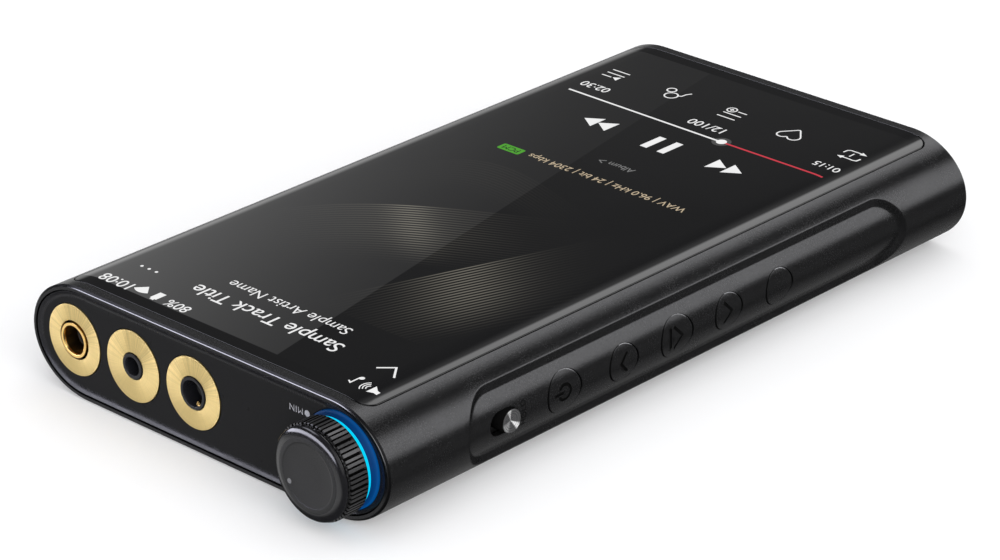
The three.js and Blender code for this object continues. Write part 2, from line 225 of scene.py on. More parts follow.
def closed_slab(flat, faces, front, back, wrap=lambda p: p):
    """Points and faces of a closed body: flat's faces placed by front, again by back, and joined at their edges.
    Points that wrap brings together become one, and faces that lose a corner by it are left out."""
    numbers, kept, order = {}, [], []
    for point in flat:
        key = tuple(round(c, 4) for c in wrap(point))
        if key not in numbers:
            numbers[key] = len(kept)
            kept.append(key)
        order.append(numbers[key])
    top = [tuple(order[i] for i in face) for face in faces]
    top = [face for face in top if len(set(face)) == len(face)]
    count = len(kept)
    sides = {(face[i - 1], face[i]) for face in top for i in range(len(face))}
    joins = [(b, a, a + count, b + count) for a, b in sorted(sides) if (b, a) not in sides]
    under = [tuple(i + count for i in reversed(face)) for face in top]
    return [front(*p) for p in kept] + [back(*p) for p in kept], top + under + joins


def spin(profile, steps, place, wave=None):
    """Points and faces of a turned body. The profile's (radius, height) points start and end on the axis, or close.
    steps is a count or a list of angles."""
    angles = steps if isinstance(steps, list) else [2 * math.pi * i / steps for i in range(steps)]
    count = len(angles)
    points, rings = [], []
    for radius, height in profile:
        if radius < TINY:
            rings.append([len(points)] * count)
            points.append(place(0, 0, height))
            continue
        rings.append(list(range(len(points), len(points) + count)))
        for angle in angles:
            points.append(place(wave(radius, height, angle) if wave else radius, angle, height))
    pairs = list(zip(rings, rings[1:]))
    if profile[0][0] >= TINY:
        pairs.append((rings[-1], rings[0]))
    faces = []
    for low, high in pairs:
        for i in range(count):
            j = (i + 1) % count
            face = tuple(dict.fromkeys((low[i], low[j], high[j], high[i])))
            if len(face) > 2:
                faces.append(face)
    return points, faces


def jack_axis(x, z=MID_Z):
    """Places a turned body on an axis along Y. Its heights are distances towards the jack end."""
    return lambda radius, angle, height: (x + radius * math.cos(angle), -height, z + radius * math.sin(angle))


def side_axis(y, z=MID_Z):
    """Places a turned body on an axis along X."""
    return lambda radius, angle, height: (height, y + radius * math.cos(angle), z + radius * math.sin(angle))


def ribbon(path, width, closed=False):
    """Flat points and faces of a line with a width and square ends."""
    count = len(path)
    flat, faces = [], []
    for i, (u, v) in enumerate(path):
        before = path[i - 1] if closed or i else path[i]
        after = path[(i + 1) % count] if closed or i + 1 < count else path[i]
        ahead, behind = Vector(after) - Vector((u, v)), Vector((u, v)) - Vector(before)
        ahead = ahead.normalized() if ahead.length else behind.normalized()
        behind = behind.normalized() if behind.length else ahead
        mean = (ahead + behind).normalized()
        half = width / 2 / max(0.5, mean.dot(ahead))
        flat += [(u - mean.y * half, v + mean.x * half), (u + mean.y * half, v - mean.x * half)]
    for i in range(count if closed else count - 1):
        a, b = 2 * i, 2 * ((i + 1) % count)
        faces.append((a, a + 1, b + 1, b))
    return flat, faces


def stepped(path, closed, step=0.6):
    """The path with points added so that it can follow a curved face."""
    points = []
    for a, b in zip(path, path[1:] + path[:1] if closed else path[1:]):
        points += between(a, b, step)
    return points if closed else points + [path[-1]]


# ---- Thin raised marks ----
MARK_THICK = 0.02
MARK_LIFT = 0.012  # from the face under a mark to the mark's top
LAYER_LIFT = 0.02  # the same for a mark over another one
TYPE_GAP = 1e-4  # points of type nearer than this become one, in units of its size


def marks(name, parts, look, place, slot, lift):
    """One piece of flat (points, faces) parts. place takes (u, v, lift)."""
    points, faces = [], []
    for flat, flat_faces in parts:
        sides = [lambda u, v, rise=rise: place(u, v, rise) for rise in (lift, lift - MARK_THICK)]
        made, made_faces = closed_slab(flat, flat_faces, *sides)
        faces += [tuple(i + len(points) for i in face) for face in made_faces]
        points += made
    piece(name, points, faces, look, slot=slot)


def drawing(name, look, place, slot, strokes=(), fills=(), lift=MARK_LIFT):
    """Marks of strokes, each as (path, width) or (path, width, True) if it closes, and of filled convex polygons."""
    parts = [ribbon(stepped(path, bool(closed)), width, bool(closed)) for path, width, *closed in strokes]
    parts += [(fill, [tuple(range(len(fill)))]) for fill in fills]
    marks(name, parts, look, place, slot, lift)


def text_mesh(words, width, weight, gap):
    """A line of type scaled to a width, as a flat mesh in millimetres."""
    curve = bpy.data.curves.new("type", "FONT")
    curve.body = words
    curve.size = 1.0
    curve.offset = weight
    curve.space_character = gap
    holder = placed("type", curve)
    bpy.context.view_layer.update()
    mesh = bpy.data.meshes.new_from_object(holder.evaluated_get(bpy.context.evaluated_depsgraph_get()))
    bpy.data.objects.remove(holder)
    work = bmesh.new()
    work.from_mesh(mesh)
    bmesh.ops.remove_doubles(work, verts=work.verts, dist=TYPE_GAP)
    bmesh.ops.dissolve_degenerate(work, dist=TYPE_GAP, edges=work.edges)
    work.to_mesh(mesh)
    work.free()
    low = min(v.co.x for v in mesh.vertices)
    scale = width / (max(v.co.x for v in mesh.vertices) - low)
    for vertex in mesh.vertices:
        vertex.co = ((vertex.co.x - low) * scale, vertex.co.y * scale, 0)
    return mesh


def typed(name, look, place, slot, lines, lift=MARK_LIFT, weight=0.0, gap=1.0):
    """Marks of lines of type, each as (words, width, u, v). weight thickens the strokes, and gap spaces the letters."""
    parts = []
    for words, width, u, v in lines:
        mesh = text_mesh(words, width, weight, gap)
        parts.append(([(u + p.co.x, v + p.co.y) for p in mesh.vertices], [tuple(f.vertices) for f in mesh.polygons]))
    marks(name, parts, look, place, slot, lift)


# ---- The body's section ----
ARC_ANGLES = np.linspace(0, math.pi / 2, 600)
ARC_POINTS = np.stack([FLANK * np.cos(ARC_ANGLES), MID_Z * np.sin(ARC_ANGLES)], axis=1)
ARC_LENGTHS = np.concatenate([[0], np.cumsum(np.linalg.norm(np.diff(ARC_POINTS, axis=0), axis=1))])
ARC_SIDE = float(np.interp(math.asin(SIDE_V / MID_Z), ARC_ANGLES, ARC_LENGTHS))
ARC_TOP = float(ARC_LENGTHS[-1])
TOP_V = SIDE_V + ARC_TOP - ARC_SIDE  # where the flat top begins, going round from the flank with the keys
FAR_V = TOP_V + 2 * FLAT_X
HALF_ROUND = FAR_V + ARC_TOP


def section(v, inset=0.0):
    """(x, z) at unrolled coordinate v, moved in by inset. v is 0 in the middle of the flank with the keys."""
    size = abs(v)
    reach_x, reach_z = FLANK - inset, MID_Z - inset
    if size <= SIDE_V:
        angle = math.asin(size / MID_Z)
    elif size <= TOP_V:
        angle = float(np.interp(ARC_SIDE + size - SIDE_V, ARC_LENGTHS, ARC_ANGLES))
    elif size <= FAR_V:
        return FLAT_X - (size - TOP_V), MID_Z + math.copysign(reach_z, v)
    else:
        angle = float(np.interp(HALF_ROUND - size, ARC_LENGTHS, ARC_ANGLES))
        return -(FLAT_X + reach_x * math.cos(angle)), MID_Z + math.copysign(reach_z * math.sin(angle), v)
    return FLAT_X + reach_x * math.cos(angle), MID_Z + math.copysign(reach_z * math.sin(angle), v)


def unrolled(x):
    """The v of the point of the top face at x."""
    if abs(x) <= FLAT_X:
        return TOP_V + FLAT_X - x
    length = float(np.interp(math.acos((abs(x) - FLAT_X) / FLANK), ARC_ANGLES, ARC_LENGTHS))
    return SIDE_V + length - ARC_SIDE if x > 0 else HALF_ROUND - length


def top_height(x):
    """The height of the body's top face at x."""
    over = max(0.0, abs(x) - FLAT_X) / FLANK
    return MID_Z + MID_Z * math.sqrt(max(0.0, 1 - over * over))


def flank_x(z, inset=0.0):
    """The x of the flank with the keys at a height, moved in by inset."""
    rise = min(1.0, abs(z - MID_Z) / (MID_Z - inset))
    return FLAT_X + (FLANK - inset) * math.sqrt(1 - rise * rise)


def inset_of(x, z):
    """How far inside the body's section a point is."""
    over, rise = max(0.0, abs(x) - FLAT_X), abs(z - MID_Z)
    if over == 0:
        return MID_Z - rise
    low, high = 0.0, MID_Z
    for _ in range(22):
        half = (low + high) / 2
        if (over / (FLANK - half)) ** 2 + (rise / max(TINY, MID_Z - half)) ** 2 > 1:
            high = half
        else:
            low = half
    return low


# ---- Materials ----
def feed(socket, value):
    """Links a Field to an input, or sets the input to a plain value."""
    if isinstance(value, Field):
        socket.id_data.links.new(value.socket, socket)
    else:
        socket.default_value = value


def added(tree, kind, inputs=(), **settings):
    """A node with its settings and inputs. An input is a value or a Field."""
    node = tree.nodes.new(kind)
    for key, value in settings.items():
        setattr(node, key, value)
    for key, value in dict(inputs).items():
        feed(node.inputs[key], value)
    return node


class Field:
    """A node's output. Arithmetic on it adds math nodes to its tree."""

    def __init__(self, socket):
        self.socket = socket

    def after(self, kind, inputs, output=0, **settings):
        """An output of a new node in the same tree."""
        return Field(added(self.socket.id_data, kind, inputs, **settings).outputs[output])

    def math(self, operation, *others, **settings):
        return self.after("ShaderNodeMath", enumerate((self, *others)), operation=operation, **settings)

    def vector(self, operation, *others, output=0):
        return self.after("ShaderNodeVectorMath", enumerate((self, *others)), output, operation=operation)

    def axis(self, number):
        return self.after("ShaderNodeSeparateXYZ", {0: self}, number)

    def __add__(self, other):
        return self.math("ADD", other)

    def __radd__(self, other):
        return self.after("ShaderNodeMath", {0: other, 1: self}, operation="ADD")

    def __sub__(self, other):
        return self.math("SUBTRACT", other)

    def __rsub__(self, other):
        return self.after("ShaderNodeMath", {0: other, 1: self}, operation="SUBTRACT")

    def __mul__(self, other):
        return self.math("MULTIPLY", other)

    def __truediv__(self, other):
        return self.math("DIVIDE", other)

    def __abs__(self):
        return self.math("ABSOLUTE")

    def times_plus(self, factor, term):
        return self.math("MULTIPLY_ADD", factor, term)

    def ramp(self, low, high, start=0.3, end=0.7):
        """A smooth change from low to high as the field goes from start to end."""
        inputs = {"Value": self, "From Min": start, "From Max": end, "To Min": low, "To Max": high}
        return self.after("ShaderNodeMapRange", inputs, interpolation_type="SMOOTHSTEP")

    def mix(self, a, b):
        """The colour between a, where the field is 0, and b, where it is 1."""
        return self.after("ShaderNodeMix", {0: self, 6: a, 7: b}, 2, data_type="RGBA")

    def noise(self, scale, detail=3.0, roughness=0.55):
        """Noise with a grain of about 1 / scale millimetres."""
        inputs = {"Vector": self, "Scale": scale, "Detail": detail, "Roughness": roughness}
        return self.after("ShaderNodeTexNoise", inputs)

    def rings(self, scale):
        """Noise that depends on a distance alone, for turned faces."""
        return self.after("ShaderNodeCombineXYZ", {0: self}).noise(scale, 2.0, 0.6)


def rgb(color, factor=1.0):
    """A colour with its alpha, made lighter or darker by a factor."""
    return (*(min(1.0, c * factor) for c in color), 1.0)


class Look:
    """A material with one shader. The names of the shader's inputs have underscores for spaces."""

    def __init__(self, name, color, roughness, metallic=0.0, **more):
        self.material = bpy.data.materials.new(name)
        self.material.use_nodes = True
        self.tree = self.material.node_tree
        self.shader = self.tree.nodes["Principled BSDF"]
        self.set(Base_Color=rgb(color), Roughness=roughness, Metallic=metallic, **more)

    def set(self, **inputs):
        for key, value in inputs.items():
            feed(self.shader.inputs[key.replace("_", " ")], value)

    def position(self, centre=(0, 0, 0)):
        """The point in millimetres, from a centre."""
        coords = Field(added(self.tree, "ShaderNodeTexCoord").outputs["Object"])
        return coords.vector("MULTIPLY", (1000, 1000, 1000)).vector("SUBTRACT", tuple(centre))

    def bump(self, height, distance, strength=1.0):
        """distance is the height of the relief in millimetres."""
        inputs = {"Height": height, "Distance": distance * MM, "Strength": strength}
        self.set(Normal=height.after("ShaderNodeBump", inputs))


def grainy(name, color, roughness, metallic, grain=5.0, relief=0.012, vary=0.25, lighter_top_metallic=None):
    """A finish with a fine grain in its relief and small changes of tone and roughness. lighter_top_metallic is a lower
    metallic where the body lies flat, on its top and bottom, which makes them lighter: painted light."""
    look = Look(name, color, roughness, metallic)
    place = look.position()
    fine, broad = place.noise(grain, 4.0, 0.7), place.noise(0.12, 2.0)
    look.set(Base_Color=fine.ramp(0, 1).mix(rgb(color, 1 - vary), rgb(color, 1 + vary)))
    look.set(Roughness=fine.ramp(-0.04, 0.04) + broad.ramp(-0.02, 0.02) + roughness)
    look.bump(fine, relief)
    if lighter_top_metallic is not None:
        # painted light: a lower metallic on the flat top and bottom, so they look lighter
        height = abs(look.position((0, 0, MID_Z)).axis(2))
        look.set(Metallic=height.ramp(metallic, lighter_top_metallic, MID_Z - 0.7, MID_Z - 0.1))
    return look.material


def plain_gloss(name, color, roughness, metallic=0.0, scale=0.4, relief=0.002, **more):
    """A polished or moulded finish with faint smears."""
    look = Look(name, color, roughness, metallic, **more)
    place = look.position()
    smear = place.noise(scale, 4.0, 0.6)
    look.set(Roughness=smear.ramp(roughness * 0.8, roughness * 1.25))
    look.set(Base_Color=smear.mix(rgb(color), rgb(color, 1.15)))
    look.bump(place.noise(3.0), relief)
    return look.material


def lit_mark(name, color, strength=1.0):
    """An icon on the screen. Its brightness has the faint unevenness of a backlight."""
    look = Look(name, (0.01, 0.01, 0.01), 0.2, Emission_Strength=strength)
    look.set(Emission_Color=look.position().noise(0.3, 2.0).mix(rgb(color), rgb(color, 0.88)))
    return look.material


# The screen's picture, in (a, b): a to the right and b up from its middle, as its user sees it.
PICTURE_X, PICTURE_Y = 30.6, 61.0
# The paler slanting part of the glow is a painted reflection of a studio light in the glass.
PAINTED_REFLECTION_ACROSS = (-0.9815, -0.1917)  # straight across the edge of the pale part, in x and y
PAINTED_REFLECTION_EDGE = (0.72, 0.92)
# How bright the dark part is, and how much the painted reflection adds: factors of 1, x, y, xx, xy and yy.
DARK_FIELD = (0.0016, -1.1e-4, 6e-5, 0.0, 0.0, 0.0)
PAINTED_REFLECTION_FIELD = (0.0098, -4.5e-4, -2.4e-4, 1.75e-5, 1.81e-5, 3.9e-6)
# Fans of fine lines: a point (a, b) on the first line, the line's direction, its rise across that direction (highest
# power first), the lines' pitch and count, the lean and place of the glow along them, its two widths and its strength.
SCREEN_FANS = (
    ((8.3, 9.5), (-0.832, -0.555), (-0.00016, 0.0059, 0.0465, -0.2), 0.85, 26, 0.28, -3.8, (3.4, 12.0), 0.112),
    ((-10.1, 24.2), (-0.302, -0.953), (0.0, 0.0, 0.0455, -0.25), 0.82, 26, -0.44, 1.5, (7.0, 12.0), 0.105),
    ((12.0, -9.0), (-0.906, -0.423), (-0.00085, 0.0383, 0.347, -0.3), 0.85, 16, 0.2, 0.0, (9.0, 12.0), 0.006),
)
FAN_END_B = 45.2  # the lines stop here, below the words
FAN_TINT = (1, 0.93, 0.76)
GLOW_SHARES = (1.0, 0.45)
SOFT_LINE = 0.35  # how much of a pitch a line takes to fade in


def fan_glow(a, b, fan):
    """The brightness of a fan's lines at (a, b)."""
    origin, ahead, curve, pitch, lines, lean, place, widths, strength = fan
    da, db = a - origin[0], b - origin[1]
    s = da * ahead[0] + db * ahead[1]
    t = da * ahead[1] + db * -ahead[0]
    rise = curve[0]
    for power in curve[1:]:
        rise = s.after("ShaderNodeMath", {0: rise, 1: s, 2: power}, operation="MULTIPLY_ADD")
    line = (t - rise) / pitch
    wave = (line * (2 * math.pi)).math("COSINE")
    shape = [
        wave.ramp(0.02, 1, -SOFT_LINE, 1.0),
        line.ramp(0, 1, -SOFT_LINE, 0.0),
        line.ramp(1, 0, lines * 0.35, lines),
        b.ramp(1, 0, FAN_END_B - 0.2, FAN_END_B + 0.2),
    ]
    offset = t.times_plus(-lean, s) - place
    falls = [abs(offset / width).math("POWER", 2.0) * -1.0 for width in widths]
    near, far = [fall.math("EXPONENT") * share for fall, share in zip(falls, GLOW_SHARES)]
    level = (near + far) * strength
    for factor in shape:
        level = level * factor
    return level


def brightness(x, y, terms):
    """A field from its factors of 1, x, y, xx, xy and yy, and not below 0."""
    field = x.times_plus(terms[1], terms[0])
    for product, factor in ((y, terms[2]), (x * x, terms[3]), (x * y, terms[4]), (y * y, terms[5])):
        field = product.times_plus(factor, field)
    return field.math("MAXIMUM", 0.0)


def screen_look():
    """Black glass over a lit picture: a dark field with fans of fine lines, and a paler slanting area that is a painted
    reflection in its glow.
    """
    look = Look("screen_glass", (0.004, 0.004, 0.0045), 0.045, IOR=1.5, Emission_Strength=1.0)
    place = look.position()
    x, y = place.axis(0), place.axis(1)
    edges = (PICTURE_X - abs(x)).math("MINIMUM", PICTURE_Y - abs(y))
    inside = edges.ramp(0, 1, -0.06, 0.06)
    # painted reflection: the paler slanting area added to the glow
    painted_reflection = (x * PAINTED_REFLECTION_ACROSS[0] + y * PAINTED_REFLECTION_ACROSS[1]).ramp(0, 1, *PAINTED_REFLECTION_EDGE)
    haze = place.noise(0.05, 2.0).ramp(0.0, 0.0008)
    light = (painted_reflection * brightness(x, y, PAINTED_REFLECTION_FIELD)).times_plus(1.0, haze)
    level = brightness(x, y, DARK_FIELD) + light
    a, b = x * -1.0, y * -1.0
    first, second, third = [fan_glow(a, b, fan) for fan in SCREEN_FANS]
    lines = first + second + third
    channels = [lines.times_plus(tint, level) * inside for tint in FAN_TINT]
    look.set(Emission_Color=lines.after("ShaderNodeCombineColor", enumerate(channels)))
    look.set(Roughness=place.noise(0.08).ramp(0.03, 0.06, 0.35))
    return look.material


def steel_painted_wedges(name, centre):
    """Turned steel with fine rings and a drawn-out gloss, and bright wedges painted into its colour at fixed angles:
    painted highlight.
    """
    look = Look(name, (0.6, 0.6, 0.61), 0.3, 0.6, Anisotropic=0.85)
    flat = look.position(centre).vector("MULTIPLY", (0, 1, 1))
    rings = flat.vector("LENGTH", output=1).rings(14.0)
    turn = flat.axis(2).math("ARCTAN2", flat.axis(1))
    # painted highlight: bright wedges at fixed angles round the axis, mixed into the colour
    painted_wedge = 0.0
    for angle, half, share in ((-0.75, 0.42, 1.0), (1.9, 0.3, 0.55), (-2.6, 0.7, 0.25)):
        painted_wedge = painted_wedge + abs(turn - angle).ramp(share, 0, half * 0.3, half)
    painted_wedge = painted_wedge.math("MULTIPLY", rings.times_plus(0.6, 0.7), use_clamp=True)
    look.set(Base_Color=painted_wedge.mix(rgb((0.1, 0.1, 0.102)), rgb((1.0, 1.0, 1.0))), Roughness=rings.ramp(0.2, 0.32))
    look.set(Tangent=flat.after("ShaderNodeTangent", {}, direction_type="RADIAL", axis="X"))
    look.bump(rings, 0.004, 0.6)
    return look.material


def turned_gold(name, centre, color=(0.68, 0.52, 0.22)):
    """Gold brushed round a centre: fine rings in the relief, and radial streaks painted lighter into its colour,
    stronger towards the top: painted highlight.
    """
    look = Look(name, color, 0.36, 1.0, Anisotropic=0.65)
    flat = look.position(centre).vector("MULTIPLY", (1, 0, 1))
    ray = flat.vector("NORMALIZE")
    # painted highlight: lighter radial streaks in the colour, stronger towards the top
    painted_top_share = ray.axis(2).ramp(0.3, 1.0, -0.3, 0.5)
    painted_rays = (ray.noise(30.0, 3.0, 0.7) - 0.5).times_plus(painted_top_share, 0.5)
    rings = flat.vector("LENGTH", output=1).rings(9.0)
    both = painted_rays * 0.75 + rings * 0.25
    look.set(Base_Color=both.ramp(0, 1, 0.34, 0.66).mix(rgb(color, 0.78), rgb(color, 1.22)))
    look.set(Roughness=painted_rays.ramp(0.28, 0.46))
    look.set(Tangent=flat.after("ShaderNodeTangent", {}, direction_type="RADIAL", axis="Y"))
    look.bump(rings, 0.008, 0.6)
    return look.material


def lit_ring(name, inner, outer, color_in, color_out, strength, fade=1.0):
    """A light guide whose glow changes with its distance from the knob's axis and fades towards the sockets."""
    look = Look(name, (0.0, 0.01, 0.04), 0.4, Specular_IOR_Level=0.1)
    flat = look.position((KNOB_X, 0, KNOB_Z)).vector("MULTIPLY", (1, 0, 1))
    share = flat.vector("LENGTH", output=1).ramp(0, 1, inner, outer)
    look.set(Emission_Color=share.mix(rgb(color_in), rgb(color_out)))
    look.set(Emission_Strength=flat.axis(0).ramp(strength * fade, strength, -2.5, 4.0))
    return look.material


def board_look():
    """Green solder mask with raised tracks and tinned pads."""
    look = Look("circuit_board", (0.01, 0.07, 0.03), 0.35)
    place = look.position()
    cells = {"Vector": place, "Scale": 0.9}
    pads = place.after("ShaderNodeTexVoronoi", cells, "Distance", distance="CHEBYCHEV").ramp(1, 0, 0.16, 0.2)
    tracks = place.after("ShaderNodeTexBrick", {"Vector": place, "Scale": 1.2, "Mortar Size": 0.12}, "Fac")
    ground = tracks.mix(rgb((0.008, 0.06, 0.025)), rgb((0.015, 0.11, 0.045)))
    look.set(Base_Color=pads.mix(ground, rgb((0.6, 0.55, 0.4))), Metallic=pads)
    look.bump(tracks + pads, 0.02)
    return look.material


ANODISED = grainy("anodised", (0.054, 0.054, 0.056), 0.24, 0.93, grain=4.2, relief=0.011, lighter_top_metallic=0.66)
KEY_METAL = grainy("key_anodised", (0.053, 0.053, 0.055), 0.24, 0.93, grain=4.2, relief=0.009)
# Bright cut metal, for the cut line round the sleeve's ends, and put on the keys' upper rims as a painted highlight.
BRIGHT_CUT_AND_PAINTED_HIGHLIGHT = grainy("cut_edge_and_painted_highlight", (0.22, 0.22, 0.23), 0.18, 1.0, grain=6.0, relief=0.001)
RIM_METAL = grainy("rim_anodised", (0.02, 0.02, 0.021), 0.3, 0.9, grain=5.0, relief=0.006)
# Black with no gloss, for engraved marks, and put on walls, grooves and gaps as painted shade.
MARKS_AND_PAINTED_SHADE = plain_gloss("engraving_and_painted_shade", (0.003, 0.003, 0.003), 0.6, Specular_IOR_Level=0.0)
CAP_GLOSS = plain_gloss("end_cap_gloss", (0.008, 0.008, 0.0095), 0.24, Specular_IOR_Level=0.2)
CAP_SATIN = plain_gloss("end_cap_satin", (0.008, 0.008, 0.0085), 0.34, Specular_IOR_Level=0.045)
SCREEN = screen_look()
BACK_GLASS = plain_gloss("back_glass", (0.006, 0.006, 0.007), 0.08)
MOULDED = plain_gloss("moulded_black", (0.012, 0.012, 0.012), 0.42, scale=1.0, relief=0.006)
SOCKET = plain_gloss("socket_black", (0.008, 0.008, 0.01), 0.2, Specular_IOR_Level=0.2)
GOLD = plain_gloss("polished_gold", (0.83, 0.55, 0.2), 0.16, 1.0)
KNOB_METAL = grainy("knob_anodised", (0.085, 0.085, 0.088), 0.34, 0.82, grain=8.0, relief=0.004)
KNOB_FACE = grainy("knob_face", (0.03, 0.03, 0.031), 0.32, 0.85, grain=8.0, relief=0.004)
KNOB_EDGE = plain_gloss("knob_edge", (0.007, 0.007, 0.008), 0.13, Specular_IOR_Level=0.5)
STEEL = plain_gloss("steel", (0.55, 0.55, 0.57), 0.24, 1.0, scale=1.5)
SHIELD = grainy("tin_plate", (0.5, 0.5, 0.5), 0.36, 1.0, grain=1.5, relief=0.01, vary=0.08)
WRAP = grainy("battery_wrap", (0.03, 0.03, 0.034), 0.4, 0.2, grain=0.8, relief=0.03)
BOARD = board_look()
PANEL_BLACK = plain_gloss("panel_stack", (0.01, 0.01, 0.012), 0.25)
LEGEND = plain_gloss("printed_legend", (0.34, 0.34, 0.37), 0.5)
WHITE_MARK = lit_mark("screen_white", (0.92, 0.92, 0.92))
DIM_MARK = lit_mark("screen_dim", (0.2, 0.2, 0.2))
RED_MARK = lit_mark("screen_red", (0.62, 0.035, 0.06))
GOLD_MARK = lit_mark("screen_gold", (0.62, 0.5, 0.34), 0.9)
FAINT_MARK = lit_mark("screen_faint", (0.06, 0.06, 0.06))
GREEN_MARK = lit_mark("screen_green", (0.07, 0.36, 0.02))
DIM_LEGEND = plain_gloss("dim_legend", (0.11, 0.11, 0.115), 0.5)
CYAN = lit_ring("ring_cyan", 6.6, 7.0, (0.0, 0.75, 1.0), (0.0, 0.62, 1.0), 1.0)
# The halo glows as part of the light guide, and its brighter outer side is painted light: the cyan ring's light falling
# on the recess wall round it. It is dimmer towards the sockets.
BLUE = lit_ring("halo_glow_and_painted_light", 6.9, 7.4, (0.0, 0.022, 0.11), (0.0, 0.07, 0.26), 0.85, 0.4)


# ---- The sleeve ----
def edge_round(distance, size=0.12):
    """How far a surface has dropped at a distance from an opening's edge."""
    t = min(1.0, max(0.0, 1 - distance / size))
    return size * 0.8 * t * t


POCKET = Slot(0, MID_Z, 49.6, 6.1, 6.1)
# (distance from the pocket's outline, depth)
POCKET_PROFILE = ((-1.2, POCKET_DEPTH), (-0.97, 0.985), (-0.8, 0.93), (-0.66, 0.83), (-0.14, 0.17), (-0.04, 0.06))
POCKET_PROFILE += ((0.05, 0.01), (0.14, 0))
GLASS_OPENING = Slot(0, 0, PANEL.x + SEAM, PANEL.y + SEAM, PANEL_CORNER + SEAM)
KEY_GAP = 0.26
KEY_HOLES = [circle(middle(f"{key}_key").y, MID_Z, box_mm(f"{key}_key")[1].z - MID_Z + KEY_GAP) for key in KEYS]
HOLD_TRAVEL = 1.7
HOLD_Y = middle("hold_slider").y
HOLD_R = radius_of("hold_slider")
HOLD_GAP = 0.2
HOLE_R = HOLD_R + HOLD_GAP
HOLD_HOLE = Slot(HOLD_Y - HOLD_TRAVEL / 2, MID_Z, HOLD_TRAVEL / 2 + HOLD_R + HOLD_GAP, HOLE_R, HOLE_R)
SIDE_HOLES = [*KEY_HOLES, HOLD_HOLE]


def pocket_depth(y, z):
    return along(POCKET_PROFILE, POCKET.distance(y, z)) if abs(z - MID_Z) < SIDE_V else 0.0


def sleeve_depth(y, v):
    """How far the sleeve's outer face lies inside the plain section at (y, v)."""
    depth = max(0.0, abs(y) - (END_Y - END_CHAMFER))
    if abs(v) < SIDE_V:
        z = MID_Z + v
        depth += along(POCKET_PROFILE, POCKET.distance(y, z))
        return depth + max(edge_round(hole.distance(y, z), 0.07) for hole in SIDE_HOLES)
    return depth + edge_round(GLASS_OPENING.distance(section(v)[0], y), 0.06)


def in_sleeve_side(y, v):
    """Whether the sleeve has metal there. The slivers along the line where it closes on itself are left out."""
    if abs(v) < SIDE_V:
        return all(hole.distance(y, MID_Z + v) > 0 for hole in SIDE_HOLES)
    return abs(v) < HALF_ROUND - 0.01 and GLASS_OPENING.distance(section(v)[0], y) > 0


def outward(x, z):
    """The direction straight out of the body's section."""
    over = math.copysign(max(0.0, abs(x) - FLAT_X), x)
    return Vector((over / FLANK**2, 0, (z - MID_Z) / MID_Z**2)).normalized()


def build_sleeve():
    rounds = sorted({round(v, 4) for s in (-1, 1) for v in np.append(s * np.linspace(0, HALF_ROUND, 170), s * TOP_V)})
    ends = (END_Y, END_Y - CUT_WIDTH, END_Y - END_CHAMFER, END_Y - 0.8)
    rows = [[(s * y, v) for v in rounds] for s in (-1, 1) for y in ends]
    seams = [[(float(y), s * HALF_ROUND) for y in np.linspace(-END_Y + 2, END_Y - 2, 100)] for s in (-1, 1)]
    loops = []
    for grow in (0.0, 0.03, 0.08, 0.14):
        loops += [[(u, v - MID_Z) for u, v in hole.loop(grow, 0.6, 14)] for hole in SIDE_HOLES]
        loops += [[(y, sign * unrolled(x)) for x, y in GLASS_OPENING.loop(grow, 1.6, 8)] for sign in (-1, 1)]
    for offset, _ in POCKET_PROFILE:
        loops.append([(u, v - MID_Z) for u, v in POCKET.loop(offset, 1.2, 22)])
    free = [(float(y), v) for y in np.arange(-END_Y + 2, END_Y - 1.5, 1.1) for v in rounds[1:-1]]
    flat, faces = triangulate(loops, rows + seams, free, in_sleeve_side)

    def outer(y, v):
        x, z = section(v, sleeve_depth(y, v))
        return x, y, z

    def inner(y, v):
        x, z = section(v, RIM + pocket_depth(y, MID_Z + v))
        return x, y, z

    def wrap(point):
        return (point[0], HALF_ROUND) if abs(abs(point[1]) - HALF_ROUND) < 1e-3 else point

    def pick(x, y, z, normal):
        reach = abs(y)
        # The walls of the openings get the black look with no gloss: painted shade.
        if reach < END_Y - 0.5 and abs(normal.dot(outward(x, z))) < 0.3:
            return 3
        if END_Y - CUT_WIDTH < reach < END_Y - 0.01 and abs(normal.y) > 0.5:
            return 1
        return 2 if reach > END_Y - END_CHAMFER + 0.005 else 0

    slab = closed_slab(flat, faces, outer, inner, wrap)
    piece("sleeve", *slab, ANODISED, ["body_shell"], "anodised_shell", 28, (BRIGHT_CUT_AND_PAINTED_HIGHLIGHT, RIM_METAL, MARKS_AND_PAINTED_SHADE), pick)


# ---- The glass and the back ----
def build_panel(name, node, look, up):
    """A panel whose face follows the body's curve and whose edges are polished round."""
    shape = Slot(0, 0, PANEL.x - 0.02, PANEL.y - 0.02, PANEL_CORNER)
    low, high = box_mm(node)
    inner_z = low.z if up else high.z
    loops = [shape.loop(grow, 1.5, 10) for grow in (0.0, -0.3, -0.16, -0.11, -0.05, -0.02)]
    columns = [s * float(x) for s in (-1, 1) for x in np.arange(FLAT_X, PANEL.x - 0.5, 0.35)]
    columns = sorted(columns + [0.0, -9.0, 9.0, -18.0, 18.0])
    free = [(x, float(y)) for x in columns for y in np.linspace(-PANEL.y + 1, PANEL.y - 1, 85)]
    lines = [[(x, float(y)) for y in np.linspace(-PANEL.y + 1, PANEL.y - 1, 60)] for x in (-FLAT_X, FLAT_X)]
    flat, faces = triangulate(loops, lines, free, lambda x, y: shape.distance(x, y) < 0.001, clear=0.2)

    def face(x, y):
        z = top_height(x) - edge_round(-shape.distance(x, y), 0.1)
        return x, y, z if up else THICK - z

    slab = closed_slab(flat, faces, face, lambda x, y: (x, y, inner_z))
    piece(name, *slab, look, [node], "panel_glass", 40, (MARKS_AND_PAINTED_SHADE,), lambda x, y, z, normal: int(abs(normal.z) < 0.3))


